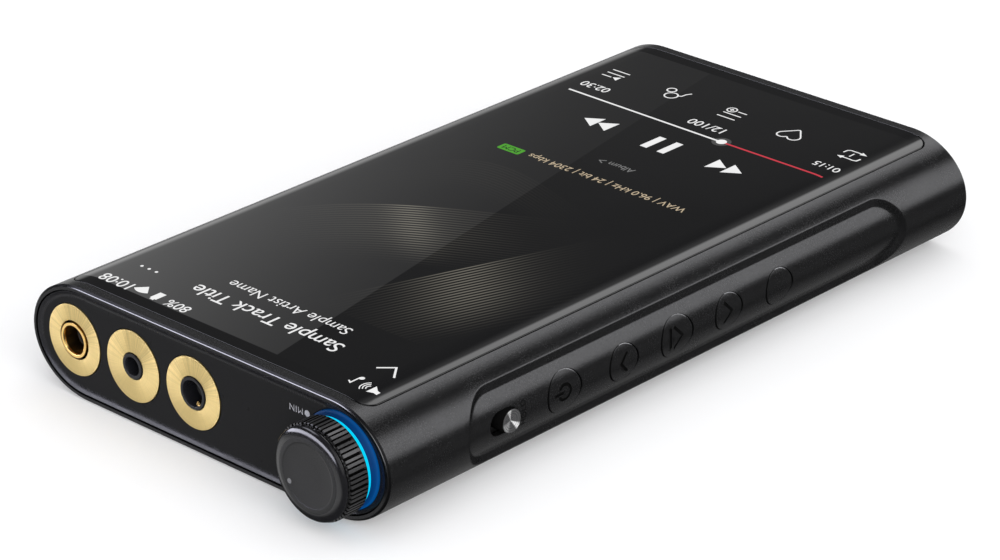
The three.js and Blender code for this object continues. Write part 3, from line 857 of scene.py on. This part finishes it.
# ---- The end caps ----
CAP_INSET = 0.92
CAP_BACK = 1.6
# (distance inside the cap's edge, depth)
DISH_PROFILE = ((0, 0.26), (0.12, 0.16), (0.2, 0.18), (0.45, 0.285), (0.8, 0.39), (1.2, 0.456), (1.8, 0.495))
DISH_PROFILE += ((2.45, CAP_DEPTH),)


def build_cap(name, node, toward, holes):
    """An end face with a concave border. toward is -1 at the jack end and 1 at the other."""
    steps = np.linspace(-HALF_ROUND, HALF_ROUND, 300)[:-1]
    loops = [[section(float(v), CAP_INSET + offset) for v in steps] for offset, _ in DISH_PROFILE]
    for hole in holes:
        loops += [hole.loop(grow, 0.8, 20) for grow in (0.0, 0.05, 0.11, 0.17)]
    free = [(float(x), float(z)) for x in np.arange(-34, 35, 1.5) for z in np.arange(4, 15, 1.2)]
    flat, faces = triangulate(loops, [], free, lambda x, z: all(hole.distance(x, z) > 0 for hole in holes))

    def face(x, z):
        drop = along(DISH_PROFILE, inset_of(x, z) - CAP_INSET) + max(edge_round(h.distance(x, z), 0.1) for h in holes)
        return x, toward * (END_Y - drop), z

    def pick(x, y, z, normal):
        reach = inset_of(x, z) - CAP_INSET
        if reach < DISH_PROFILE[1][0] and abs(y) > END_Y - 0.5:
            return 2
        return int(reach > 1.0)

    slab = closed_slab(flat, faces, face, lambda x, z: (x, toward * (END_Y - CAP_BACK), z))
    piece(name, *slab, CAP_GLOSS, [node], "end_cap_gloss", 30, (CAP_SATIN, RIM_METAL), pick)


# ---- The sockets ----
DISC_R = 5.7
DISC_THICK = 0.7
DISC_RISE = 0.12  # from the end face to the disc's face
LIP_RISE = 0.16  # from the disc's face to the lip
LIP_BEVEL = (0.12, 0.3)
COLLAR = 0.16  # how much narrower the bore is behind its mouth
# The bore's and the lip's radius, the lip's look and slot, the hole in the disc, and how deep the spring's tip lies.
JACKS = {
    "44": (2.2, 2.8, GOLD, "gold_plate", 3.12, 1.4),
    "25": (1.38, 2.05, SOCKET, "socket_black", 2.15, 2.2),
    "35": (1.95, 2.55, SOCKET, "socket_black", 2.65, 0.4),
}
SPRING_THICK = 0.12
SPRING_SIDES = (0.45, 1.1)  # from the bore's middle
# (distance behind the tip, reach into the bore)
SPRING_PROFILE = ((0, 0.15), (0.1, 0.62), (0.7, 0.74), (1.8, 0.62), (4.0, 0.2), (6.5, 0.1))


def build_jack(size):
    bore, lip, lip_look, lip_slot, hole, tip = JACKS[size]
    disc = middle(f"jack_{size}_disc")
    place = jack_axis(disc.x)
    face = END_Y - CAP_DEPTH + DISC_RISE
    ring = soften([(hole, face - DISC_THICK), (DISC_R, face - DISC_THICK), (DISC_R, face), (hole, face)], 0.09)
    look = turned_gold(f"brushed_gold_{size}", (disc.x, 0, disc.z))
    piece(f"jack_{size}_plate", *spin(ring, 128, place), look, [f"jack_{size}_disc"], "brushed_gold")
    back = -box_mm(f"jack_{size}_barrel")[1].y
    front = face + LIP_RISE
    tube = [(bore, back), (lip, back), (lip, front), (bore + LIP_BEVEL[0], front), (bore, front - LIP_BEVEL[1])]
    piece(f"jack_{size}_liner", *spin(soften(tube, 0.07), 96, place), lip_look, [f"jack_{size}_barrel"], lip_slot)
    collar = [(bore - COLLAR, back + 0.5), (bore, back + 0.5), (bore, front - 2.6), (bore - COLLAR, front - 2.8)]
    piece(f"jack_{size}_sleeve", *spin(soften(collar, 0.05), 64, place), MOULDED, slot="socket_black")
    spring = [(-(front - tip - behind), disc.z - bore + reach) for behind, reach in SPRING_PROFILE]
    sides = [lambda y, z, x=disc.x + away: (x, y, z) for away in SPRING_SIDES]
    strip = closed_slab(*ribbon(spring, SPRING_THICK), *sides)
    piece(f"jack_{size}_spring", *strip, GOLD, [f"jack_{size}_contact"], "gold_plate")


# ---- The volume knob ----
KNURL_GROUPS = 20
KNURL_GROOVES = ((4.0, 5.7, 0.42), (9.5, 11.2, 0.42), (14.7, 17.75, 0.55))  # from and to in degrees, and depth
GROOVE_EDGE = 0.25  # in degrees
KNOB_R = radius_of("knob_grip")
KNOB_BACK = -box_mm("knob_grip")[1].y
KNOB_FRONT = -box_mm("knob_face")[0].y
KNOB_LIP_R = KNOB_R - 0.28
KNOB_FLAT_R = 4.88
KNOB_DOT = (-3.7, -2.05)  # from the knob's axis
RIB_END = KNOB_FRONT - 1.38
LIGHT_R = 6.93
LIGHT_TOP = END_Y + 0.9
HALO_R = 7.42
ROUND_STEPS = 160


def knurl(radius, height, angle):
    """The radius of a turned face at an angle, with the grooves between the ribs."""
    if KNOB_BACK + 0.15 < height < KNOB_FRONT - 1.3 and radius >= KNOB_R - 0.3:
        at = math.degrees(angle) % (360 / KNURL_GROUPS)
        for start, end, depth in KNURL_GROOVES:
            if start - 0.01 < at < end + 0.01:
                return radius - depth
    return radius


def knurl_angles():
    angles = []
    for group in range(KNURL_GROUPS):
        base = group * 360 / KNURL_GROUPS
        rib = 0.0
        for start, end, _ in KNURL_GROOVES:
            top = start - GROOVE_EDGE
            angles += [base + rib + (top - rib) * k / 3 for k in range(4)] + [base + start, base + end]
            rib = end + GROOVE_EDGE
    return [math.radians(a) for a in angles]


def from_knob_axis(x, z):
    return math.hypot(x - KNOB_X, z - KNOB_Z)


def build_knob():
    place = jack_axis(KNOB_X, KNOB_Z)
    grip = inward(KNOB_R, KNOB_BACK, ((None, 0.2), (0.6, 0), (0.15, 0.12), (0, 0.3), (0, 2.2)))
    grip += inward(KNOB_R, RIB_END, ((0, -0.1), (0.08, 0), (0.62, 0.02), (0.62, 0.5), (None, 0.5)))

    # The grooves get the black look with no gloss: painted shade.
    def groove_painted_shade(x, y, z, normal):
        return int(0.16 < KNOB_R - from_knob_axis(x, z) < 1.5 and abs(normal.y) < 0.5)

    def on_flat(x, y, z, normal):
        return int(from_knob_axis(x, z) < KNOB_LIP_R - 1.2)

    turned = spin(grip, knurl_angles(), place, knurl)
    piece("knob_body", *turned, KNOB_METAL, ["knob_grip"], "knob_black", 24, (MARKS_AND_PAINTED_SHADE,), groove_painted_shade, "volume_knob")

    edge = ((None, -1.1), (0.5, -1.1), (0.1, -1.02), (0, -0.88), (0, -0.74), (0.1, -0.6), (0.34, -0.42), (0.8, -0.24))
    flat = ((-0.28, -0.03), (-0.08, -0.03), (0, -0.06), (0.1, -0.075))
    face = inward(KNOB_LIP_R, KNOB_FRONT, (*edge, (1.4, -0.1))) + inward(KNOB_FLAT_R, KNOB_FRONT, flat)
    face += inward(2.5, KNOB_FRONT, ((0, -0.075), (None, -0.075)))
    turned = spin(face, ROUND_STEPS, place)
    piece("knob_cap", *turned, KNOB_EDGE, ["knob_face"], "knob_black", 50, (KNOB_FACE,), on_flat, "volume_knob")

    dot = inward(0.4, KNOB_FRONT - 0.055, ((None, -0.04), (0, -0.04), (0, 0), (None, 0)))
    turned = spin(dot, 32, jack_axis(KNOB_X + KNOB_DOT[0], KNOB_Z + KNOB_DOT[1]))
    piece("knob_dot", *turned, DIM_LEGEND, slot="knob_black", body="volume_knob")

    glow = inward(LIGHT_R, LIGHT_TOP, ((0.06, -1.2), (0.06, -0.2), (0, -0.18), (0, -0.06), (0.1, 0)))
    glow = soften([(5, LIGHT_TOP - 1.2), *glow, (5, LIGHT_TOP)], 0.05)
    piece("light_guide", *spin(glow, ROUND_STEPS, place), CYAN, ["light_ring"], "light_acrylic")

    low = END_Y - CAP_DEPTH - 0.2
    halo = [(LIGHT_R - 0.03, low), (HALO_R, low), (HALO_R, low + 0.4), (LIGHT_R + 0.2, low + 0.62)]
    halo += inward(LIGHT_R, LIGHT_TOP, ((-0.02, -0.22), (0.03, -0.22)))
    piece("light_halo", *spin(soften(halo, 0.05), ROUND_STEPS, place), BLUE, slot="light_acrylic")


# ---- The keys ----
MARK_WIDTH = 0.48
MARK_DEPTH = 0.2
MARK_SLOPE = 0.05
KEY_SINK = 0.02  # below the pocket's floor


def key_strokes(name, y):
    """The paths of a key's mark in (y, z). The player's top is towards -Y."""
    z = MID_Z
    return {
        "power": [arc(y, z, 1.2, 215, 505, 30), [(y - 1.7, z), (y - 0.35, z)]],
        "previous": [[(y + 0.7, z + 1.45), (y - 0.7, z), (y + 0.7, z - 1.45)]],
        "next": [[(y - 0.7, z + 1.45), (y + 0.7, z), (y - 0.7, z - 1.45)]],
        "play": [[(y - 0.35, z + 1.5), (y + 1.15, z), (y - 0.35, z - 1.5)], [(y - 1.3, z + 1.5), (y - 1.3, z - 1.5)]],
    }.get(name, [])


def outline(path, width):
    """The closed outline of a stroke."""
    flat, _ = ribbon(path, width)
    return flat[0::2] + flat[1::2][::-1]


def stroke_distance(strokes, u, v):
    """How far (u, v) is from the nearest stroke's middle line, if that is less than 9 mm."""
    best = 9.0
    for path in strokes:
        for (u0, v0), (u1, v1) in zip(path, path[1:]):
            du, dv = u1 - u0, v1 - v0
            t = min(1.0, max(0.0, ((u - u0) * du + (v - v0) * dv) / (du * du + dv * dv)))
            best = min(best, math.hypot(u - u0 - t * du, v - v0 - t * dv))
    return best


def build_key(name):
    """A key whose face follows the pocket's floor, with a sunk mark, painted shade round its edge and a painted
    highlight on the edge's upper side.
    """
    low, high = box_mm(f"{name}_key")
    y, radius = (low.y + high.y) / 2, high.z - MID_Z
    shape = circle(y, MID_Z, radius)
    strokes = key_strokes(name, y)
    loops = [shape.loop(grow, 0.5, 20) for grow in (0.0, -0.03, -0.07, -0.13, -0.19)]
    loops += [outline(path, width) for path in strokes for width in (MARK_WIDTH, MARK_WIDTH - 0.1)]
    steps = np.arange(-3.5, 3.6, 0.45)
    free = [(y + float(u), MID_Z + float(v)) for u in steps for v in steps]
    flat, faces = triangulate(loops, [], free, lambda u, v: shape.distance(u, v) < 0.001, clear=0.2)

    def face(u, v):
        groove = MARK_DEPTH * min(1.0, max(0.0, (MARK_WIDTH / 2 - stroke_distance(strokes, u, v)) / MARK_SLOPE))
        drop = edge_round(-shape.distance(u, v), 0.12) + groove
        return flank_x(v, pocket_depth(u, v)) - KEY_SINK - drop, u, v

    def pick(x, u, v, normal):
        margin = -shape.distance(u, v)
        # The key's sides and its outer rim get the black look with no gloss as painted shade of the gap; the strokes
        # get it as the mark.
        if abs(normal.x) < 0.3 or stroke_distance(strokes, u, v) < MARK_WIDTH / 2 - 0.03 or margin < 0.05:
            return 1
        # painted highlight: the bright cut look on the rim's upper side only
        if margin < 0.16 and 10 < math.degrees(math.atan2(v - MID_Z, u - y)) < 100:
            return 2
        # painted shade: the rest of the rim's outer part is black
        return int(margin < 0.11)

    slab = closed_slab(flat, faces, face, lambda u, v: (low.x, u, v))
    key = f"{name}_key"
    piece(f"{name}_button", *slab, KEY_METAL, [key], "anodised_shell", 34, (MARKS_AND_PAINTED_SHADE, BRIGHT_CUT_AND_PAINTED_HIGHLIGHT), pick, key)


SLOT_FLOOR_X = 34.6
HOLD_WORD_Y = 3.6  # from the pin to its legend


def build_hold():
    """The slider's turned pin, the floor of its slot, and its legend."""
    low, _ = box_mm("hold_slider")
    top = flank_x(MID_Z) - 0.35
    crown = [(0, low.x), (HOLD_R, low.x)] + inward(HOLD_R, top, ((0, -0.25), (0.08, -0.07), (0.22, 0), (0.34, -0.02)))
    crown += [(0.9, top - 0.17), (0.06, top - 0.36), (0, top - 0.37)]
    steel = steel_painted_wedges("steel_painted_wedges", (0, HOLD_Y, MID_Z))

    # The pin's side, down in its slot, gets the black look with no gloss: painted shade.
    def side_painted_shade(x, y, z, normal):
        return int(x < top - 0.15 and abs(normal.x) < 0.5)

    turned = spin(crown, 96, side_axis(HOLD_Y))
    piece("hold_pin", *turned, steel, ["hold_slider"], "bright_steel", 50, (MARKS_AND_PAINTED_SHADE,), side_painted_shade, "hold")
    floor = Slot(HOLD_Y - HOLD_TRAVEL / 2, MID_Z, 4.2, 2.3, 2.3)
    flat = triangulate([floor.loop(0, 0.6, 12)], [], [], lambda u, v: floor.distance(u, v) < 0.001)
    slab = closed_slab(*flat, lambda u, v: (SLOT_FLOOR_X, u, v), lambda u, v: (SLOT_FLOOR_X - 0.3, u, v))
    piece("hold_slot_floor", *slab, MOULDED, slot="socket_black")

    def place(u, v, lift):
        return flank_x(MID_Z + u, POCKET_DEPTH) + lift, HOLD_Y + HOLD_WORD_Y - v, MID_Z + u

    typed("hold_mark", MARKS_AND_PAINTED_SHADE, place, "anodised_shell", [("HOLD", 3.9, -1.95, 0)])


# ---- The screen's picture ----
def on_screen(a, b, lift):
    """A point of the screen from a to the right and b up, as its user sees it."""
    return -a, -b, top_height(a) + lift


def screen_drawing(name, look, strokes=(), fills=(), lift=MARK_LIFT):
    drawing(name, look, on_screen, "panel_glass", strokes, fills, lift)


def screen_type(name, look, *lines, **more):
    typed(name, look, on_screen, "panel_glass", lines, **more)


def triangle(tip, base, b, half):
    """A triangle that points along the bar, from its base to its tip."""
    return [(base, b - half), (tip, b), (base, b + half)]


def upright(low_a, high_a, low_b, high_b):
    return [(low_a, low_b), (high_a, low_b), (high_a, high_b), (low_a, high_b)]


def heart(a, b):
    """A heart's outline. (a, b) is the middle between its lobes."""
    right = arc(a + 1.08, b, 1.08, 150, -38, 14)
    left = [(2 * a - u, v) for u, v in right[::-1]]
    return right + [(a + 0.25, b - 2.75), (a, b - 2.9), (a - 0.25, b - 2.75)] + left


FINE = 0.24  # the width of most of the icons' strokes
BAR_B = -40  # the progress bar
KNOB_AT = (-7.55, -40.05)  # the bar's round handle
ICON_STROKES = (
    ([(-7.6, BAR_B), (25.6, -40.3)], 0.4),
    ([(-28.3, 54.9), (-26.5, 52.6), (-24.4, 54.5)], 0.32),
    (heart(-13.85, -49.2), 0.25, True),
    # the play list
    ([(22.2, -51.6), (25.9, -51.6)], FINE),
    ([(22.2, -50.2), (25.9, -50.2)], FINE),
    ([(23.9, -48.8), (25.9, -48.8)], FINE),
    # the sound settings
    (arc(11.25, -49.45, 1.15, 0, 345, 20), FINE, True),
    (arc(12.7, -51.3, 0.8, 0, 345, 16), FINE, True),
    ([(10.4, -49.9), (9.7, -50.3), (9.6, -51.3), (9.1, -52.2)], FINE),
    # add to a list
    ([(-3.3, -48.3), (0.4, -48.3)], FINE),
    ([(-3.3, -49.9), (0.4, -49.9)], FINE),
    ([(-3.3, -51.4), (-1.5, -51.4)], FINE),
    (arc(-0.2, -51.4, 0.85, 0, 350, 18), 0.22, True),
    ([(-0.6, -51.4), (0.2, -51.4)], 0.2),
    ([(-0.2, -51.8), (-0.2, -51.0)], 0.2),
    # repeat
    ([(-28.2, -49.6), (-28.1, -48.6), (-27.6, -48.3), (-25.3, -48.3)], FINE),
    ([(-24.5, -49.9), (-24.6, -50.9), (-25.1, -51.2), (-27.4, -51.2)], FINE),
    ([(-26.3, -50.4), (-26.3, -49.1)], 0.22),
    # a note and the loudspeaker's waves
    ([(-24.95, 58.2), (-24.95, 60.2), (-24.3, 59.8)], FINE),
    *((arc(-28.3, 59.5, radius, -50, 50, 8), 0.17) for radius in (0.7, 1.15, 1.6)),
)
ICON_FILLS = (
    # pause, back and forward
    upright(-0.25, 1.15, -35.1, -30.2),
    upright(-3.8, -2.4, -35.1, -30.2),
    triangle(15.3, 12.4, -32.75, 1.9),
    triangle(12.3, 9.4, -32.75, 1.9),
    triangle(-14.9, -12.0, -32.5, 1.9),
    triangle(-18.1, -15.2, -32.5, 1.9),
    # the arrow heads of repeat and of the play list
    triangle(-24.5, -25.6, -48.3, 0.5),
    triangle(-28.2, -27.1, -51.2, 0.5),
    triangle(23.6, 22.4, -48.9, 0.75),
    # the battery, the radio waves and the loudspeaker
    upright(15.2, 16.5, 58.3, 60.4),
    upright(15.5, 16.2, 60.4, 60.75),
    [(19.2, 58.1), *arc(19.2, 58.1, 2.2, 48, 132, 8)],
    [(-29.8, 59.1), (-29.3, 59.1), (-28.4, 58.4), (-28.4, 60.5), (-29.3, 59.9), (-29.8, 59.9)],
    # the menu's dots and the note's head
    *(arc(a, 53.9, 0.27, 0, 340, 14) for a in (22.3, 23.9, 25.5)),
    arc(-25.3, 58.2, 0.42, 0, 340, 12),
)


def build_screen_marks():
    screen_drawing("screen_icons", WHITE_MARK, ICON_STROKES, ICON_FILLS, LAYER_LIFT)
    screen_drawing("screen_touch", FAINT_MARK, fills=[arc(*KNOB_AT, 1.6, 0, 350, 36)], lift=0.01)
    screen_drawing("screen_knob", WHITE_MARK, fills=[arc(*KNOB_AT, 0.88, 0, 350, 36)], lift=0.03)
    screen_drawing("screen_progress", RED_MARK, [([(-28.2, BAR_B), (-7.6, BAR_B)], 0.4)], lift=LAYER_LIFT)
    screen_type("screen_artist", WHITE_MARK, ("Sample Artist Name", 25.0, -13.4, 48.0), weight=-0.005)
    screen_type(
        "screen_labels",
        WHITE_MARK,
        ("Sample Track Title", 30.6, -16.3, 52.4),
        ("10:08", 6.3, 21.2, 58.9),
        ("80%", 4.6, 8.9, 58.8),
        ("01:15", 4.9, -28.6, -44.4),
        ("02:30", 5.8, 20.1, -44.8),
        ("12/100", 7.2, -5.1, -44.4),
        lift=LAYER_LIFT,
    )
    screen_type("screen_source", DIM_MARK, ("Album", 5.2, -5.1, -22.3))
    screen_drawing("screen_next", DIM_MARK, [([(0.9, -22.1), (1.9, -21.5), (0.9, -20.9)], 0.2)])
    screen_type("screen_format", GOLD_MARK, ("WAV | 96.0 kHz | 24 bit | 2304 kbps", 32.6, -21.0, -16.3))
    screen_drawing("screen_badge", GREEN_MARK, fills=[Slot(15.3, -15.4, 2.3, 1.05, 0.35).loop(0, 5, 4)])
    screen_type("screen_badge_word", PANEL_BLACK, ("PCM", 3.3, 13.65, -16.0), lift=LAYER_LIFT)


def build_end_marks():
    """The knob's legend and its dot, on the jack end."""

    def place(u, v, lift):
        return -u, -(END_Y - CAP_DEPTH + lift), -v

    typed("min_mark", LEGEND, place, "end_cap_gloss", [("MIN", 2.65, -20.25, -14.6)], weight=-0.012, gap=1.1)
    drawing("min_dot", LEGEND, place, "end_cap_gloss", fills=[arc(-21.15, -14.1, 0.52, 0, 345, 24)])


# ---- Materials of the CAD nodes that stay ----
NODE_LOOKS = {
    "anodised_shell": ANODISED,
    "gold_plate": GOLD,
    "socket_black": MOULDED,
    "bright_steel": STEEL,
    "shield_tin": SHIELD,
    "circuit_board": BOARD,
    "battery_wrap": WRAP,
    "screen_stack": PANEL_BLACK,
    "panel_glass": BACK_GLASS,
    "end_cap_gloss": CAP_GLOSS,
    "knob_black": KNOB_METAL,
    "light_acrylic": BLUE,
    "brushed_gold": GOLD,
}


def dress_nodes():
    for row in frame["record"]["subparts"]:
        node = frame["nodes"][row["node"]]
        node.data.materials.clear()
        paint(node.data, [NODE_LOOKS[row["material_slot"]]])


# ---- The studio ----
CAMERA_AZIMUTH, CAMERA_ELEVATION, CAMERA_ROLL = 43.59, 25.0, -0.52
CAMERA_DISTANCE, CAMERA_LENS = 586.4, 136.35
CAMERA_SHIFT_RIGHT, CAMERA_SHIFT_UP = -2.41, -3.28
DOME = (0.78, 0.78, 0.79)
LOW_GLOW, LOW_GLOW_STRENGTH, LOW_GLOW_EDGE = (118, 10), 3.7, 0.55  # a broad low light beside the camera
DARK_ROOM = 0.04  # what gloss mirrors between the boxes
STUDIO_BOXES = (
    # azimuth, elevation, half width, half height (tangents), softness, strength, extra blue
    (-9, 48, 0.18, 0.3, 0.15, 2.0, 0),
    (-18, 46, 0.11, 0.18, 1.0, 0.65, 0),
    (43, 23, 0.33, 0.27, 0.15, 2.15, 0),
    (47, -16, 0.3, 0.2, 0.5, 0.12, 0),
    (5, -52, 0.7, 0.25, 0.5, 0.18, 0),
    (-45, 28, 0.5, 0.35, 0.4, 0.05, 0),
    (-47, -8, 0.4, 0.24, 0.4, 0.5, 0),
    (219, 3, 0.8, 0.12, 0.12, 8.5, 1.4),
    (224, -28, 0.7, 0.26, 0.4, 0.95, 0),
    (236, 41, 0.35, 0.18, 0.3, 3.4, 0.5),
    (130, 30, 0.5, 0.5, 0.4, 0.8, 0),
)


def unit(azimuth, elevation):
    """A direction from the player. Azimuth 0 is +Y and 90 is +X."""
    a, e = math.radians(azimuth), math.radians(elevation)
    return Vector((math.sin(a) * math.cos(e), math.cos(a) * math.cos(e), math.sin(e)))


def box_mask(direction, azimuth, elevation, half_width, half_height, soft):
    """1 where a direction meets a soft box, and 0 elsewhere."""
    ahead = unit(azimuth, elevation)
    right = ahead.cross(Vector((0, 0, 1))).normalized()
    axes = (ahead, right, right.cross(ahead))
    front, across, above = [direction.vector("DOT_PRODUCT", tuple(axis), output=1) for axis in axes]
    front = front.math("MAXIMUM", 0.001)
    masks = []
    for part, half in ((across, half_width), (above, half_height)):
        masks.append(abs(part / front).ramp(1, 0, half * (1 - soft), half * (1 + soft)))
    return masks[0] * masks[1]


def build_world():
    """An even dome lights the scene, and gloss mirrors the soft boxes."""
    world = bpy.data.worlds.new("studio")
    world.use_nodes = True
    tree = world.node_tree
    direction = Field(added(tree, "ShaderNodeTexCoord").outputs["Generated"])
    total = blue = DARK_ROOM
    for *shape, strength, cool in STUDIO_BOXES:
        mask = box_mask(direction, *shape)
        total, blue = mask.times_plus(strength, total), mask.times_plus(strength + cool, blue)
    boxes = mask.after("ShaderNodeCombineColor", {0: total, 1: total, 2: blue})
    near = direction.vector("DOT_PRODUCT", tuple(unit(*LOW_GLOW)), output=1)
    low = near.ramp(0, LOW_GLOW_STRENGTH, LOW_GLOW_EDGE, 1.0)
    dome = low.after("ShaderNodeCombineColor", enumerate([low + part for part in DOME]))
    mirrored = Field(added(tree, "ShaderNodeLightPath").outputs["Is Glossy Ray"])
    feed(tree.nodes["Background"].inputs[0], mirrored.mix(dome, boxes))
    bpy.context.scene.world = world


def build_light():
    """A broad light high behind the player, for the soft shadow."""
    toward = unit(20, 75)
    light = bpy.data.lights.new("top_light", "AREA")
    light.shape = "DISK"
    light.size = 1.6
    light.energy = 5
    holder = placed("top_light", light)
    holder.location = toward * 2.2
    holder.rotation_euler = (-toward).to_track_quat("-Z", "Y").to_euler()
    holder.visible_glossy = False


FLOOR_GAP = 0.03  # keeps the back and the floor from sharing one plane
FLOOR_GLOW = 0.16  # lifts the shadow under the player
FLOOR_HALF = 4.0  # in metres


def build_floor():
    look = Look("floor_paper", (0.9, 0.9, 0.9), 0.9, Emission_Color=rgb((1, 1, 1)), Emission_Strength=FLOOR_GLOW)
    grain = look.position().noise(0.02, 2.0)
    look.set(Base_Color=grain.mix(rgb((0.75, 0.75, 0.755)), rgb((0.78, 0.78, 0.785))))
    mesh = bpy.data.meshes.new("floor")
    corners = [(a * FLOOR_HALF, b * FLOOR_HALF, 0) for a, b in ((-1, -1), (1, -1), (1, 1), (-1, 1))]
    mesh.from_pydata(corners, [], [(0, 1, 2, 3)])
    mesh.materials.append(look.material)
    floor = placed("floor", mesh)
    floor.location.z = CAD_LOW.z - FLOOR_GAP * MM
    floor.visible_glossy = False


def build_camera():
    azimuth, elevation, roll = (math.radians(a) for a in (CAMERA_AZIMUTH, CAMERA_ELEVATION, CAMERA_ROLL))
    level = math.cos(elevation)
    back = Vector((math.sin(azimuth) * level, -math.cos(azimuth) * level, math.sin(elevation)))
    right = Vector((math.cos(azimuth), math.sin(azimuth), 0))
    up = back.cross(right)
    across = right * math.cos(roll) + up * math.sin(roll)
    above = up * math.cos(roll) - right * math.sin(roll)
    target = Vector((0, 0, MID_Z)) + across * CAMERA_SHIFT_RIGHT + above * CAMERA_SHIFT_UP
    camera = placed("camera", bpy.data.cameras.new("camera"))
    camera.data.lens = CAMERA_LENS
    camera.data.sensor_width = 36
    camera.data.clip_start, camera.data.clip_end = 0.01, 30
    turn = Matrix((across, above, back)).transposed().to_4x4()
    camera.matrix_world = Matrix.Translation((target + back * CAMERA_DISTANCE) * MM) @ turn
    bpy.context.scene.camera = camera


build_sleeve()
build_panel("screen_glass", "front_glass", SCREEN, True)
build_panel("rear_panel", "back_cover", BACK_GLASS, False)
JACK_HOLES = [circle(middle(f"jack_{size}_disc").x, MID_Z, DISC_R + 0.08) for size in JACKS]
build_cap("jack_end_face", "jack_end_cap", -1, [*JACK_HOLES, circle(KNOB_X, KNOB_Z, HALO_R + 0.06)])
PORT_HOLES = [Slot(0, MID_Z, 4.9, 2.0, 1.95), Slot(middle("card_tray").x, MID_Z, 6.6, 1.1, 1.05)]
build_cap("port_end_face", "port_end_cap", 1, PORT_HOLES)
for jack_size in JACKS:
    build_jack(jack_size)
build_knob()
for key_name in KEYS:
    build_key(key_name)
build_hold()
build_screen_marks()
build_end_marks()
dress_nodes()
build_world()
build_floor()
build_light()
build_camera()
bpy.context.scene.view_settings.view_transform = "Standard"
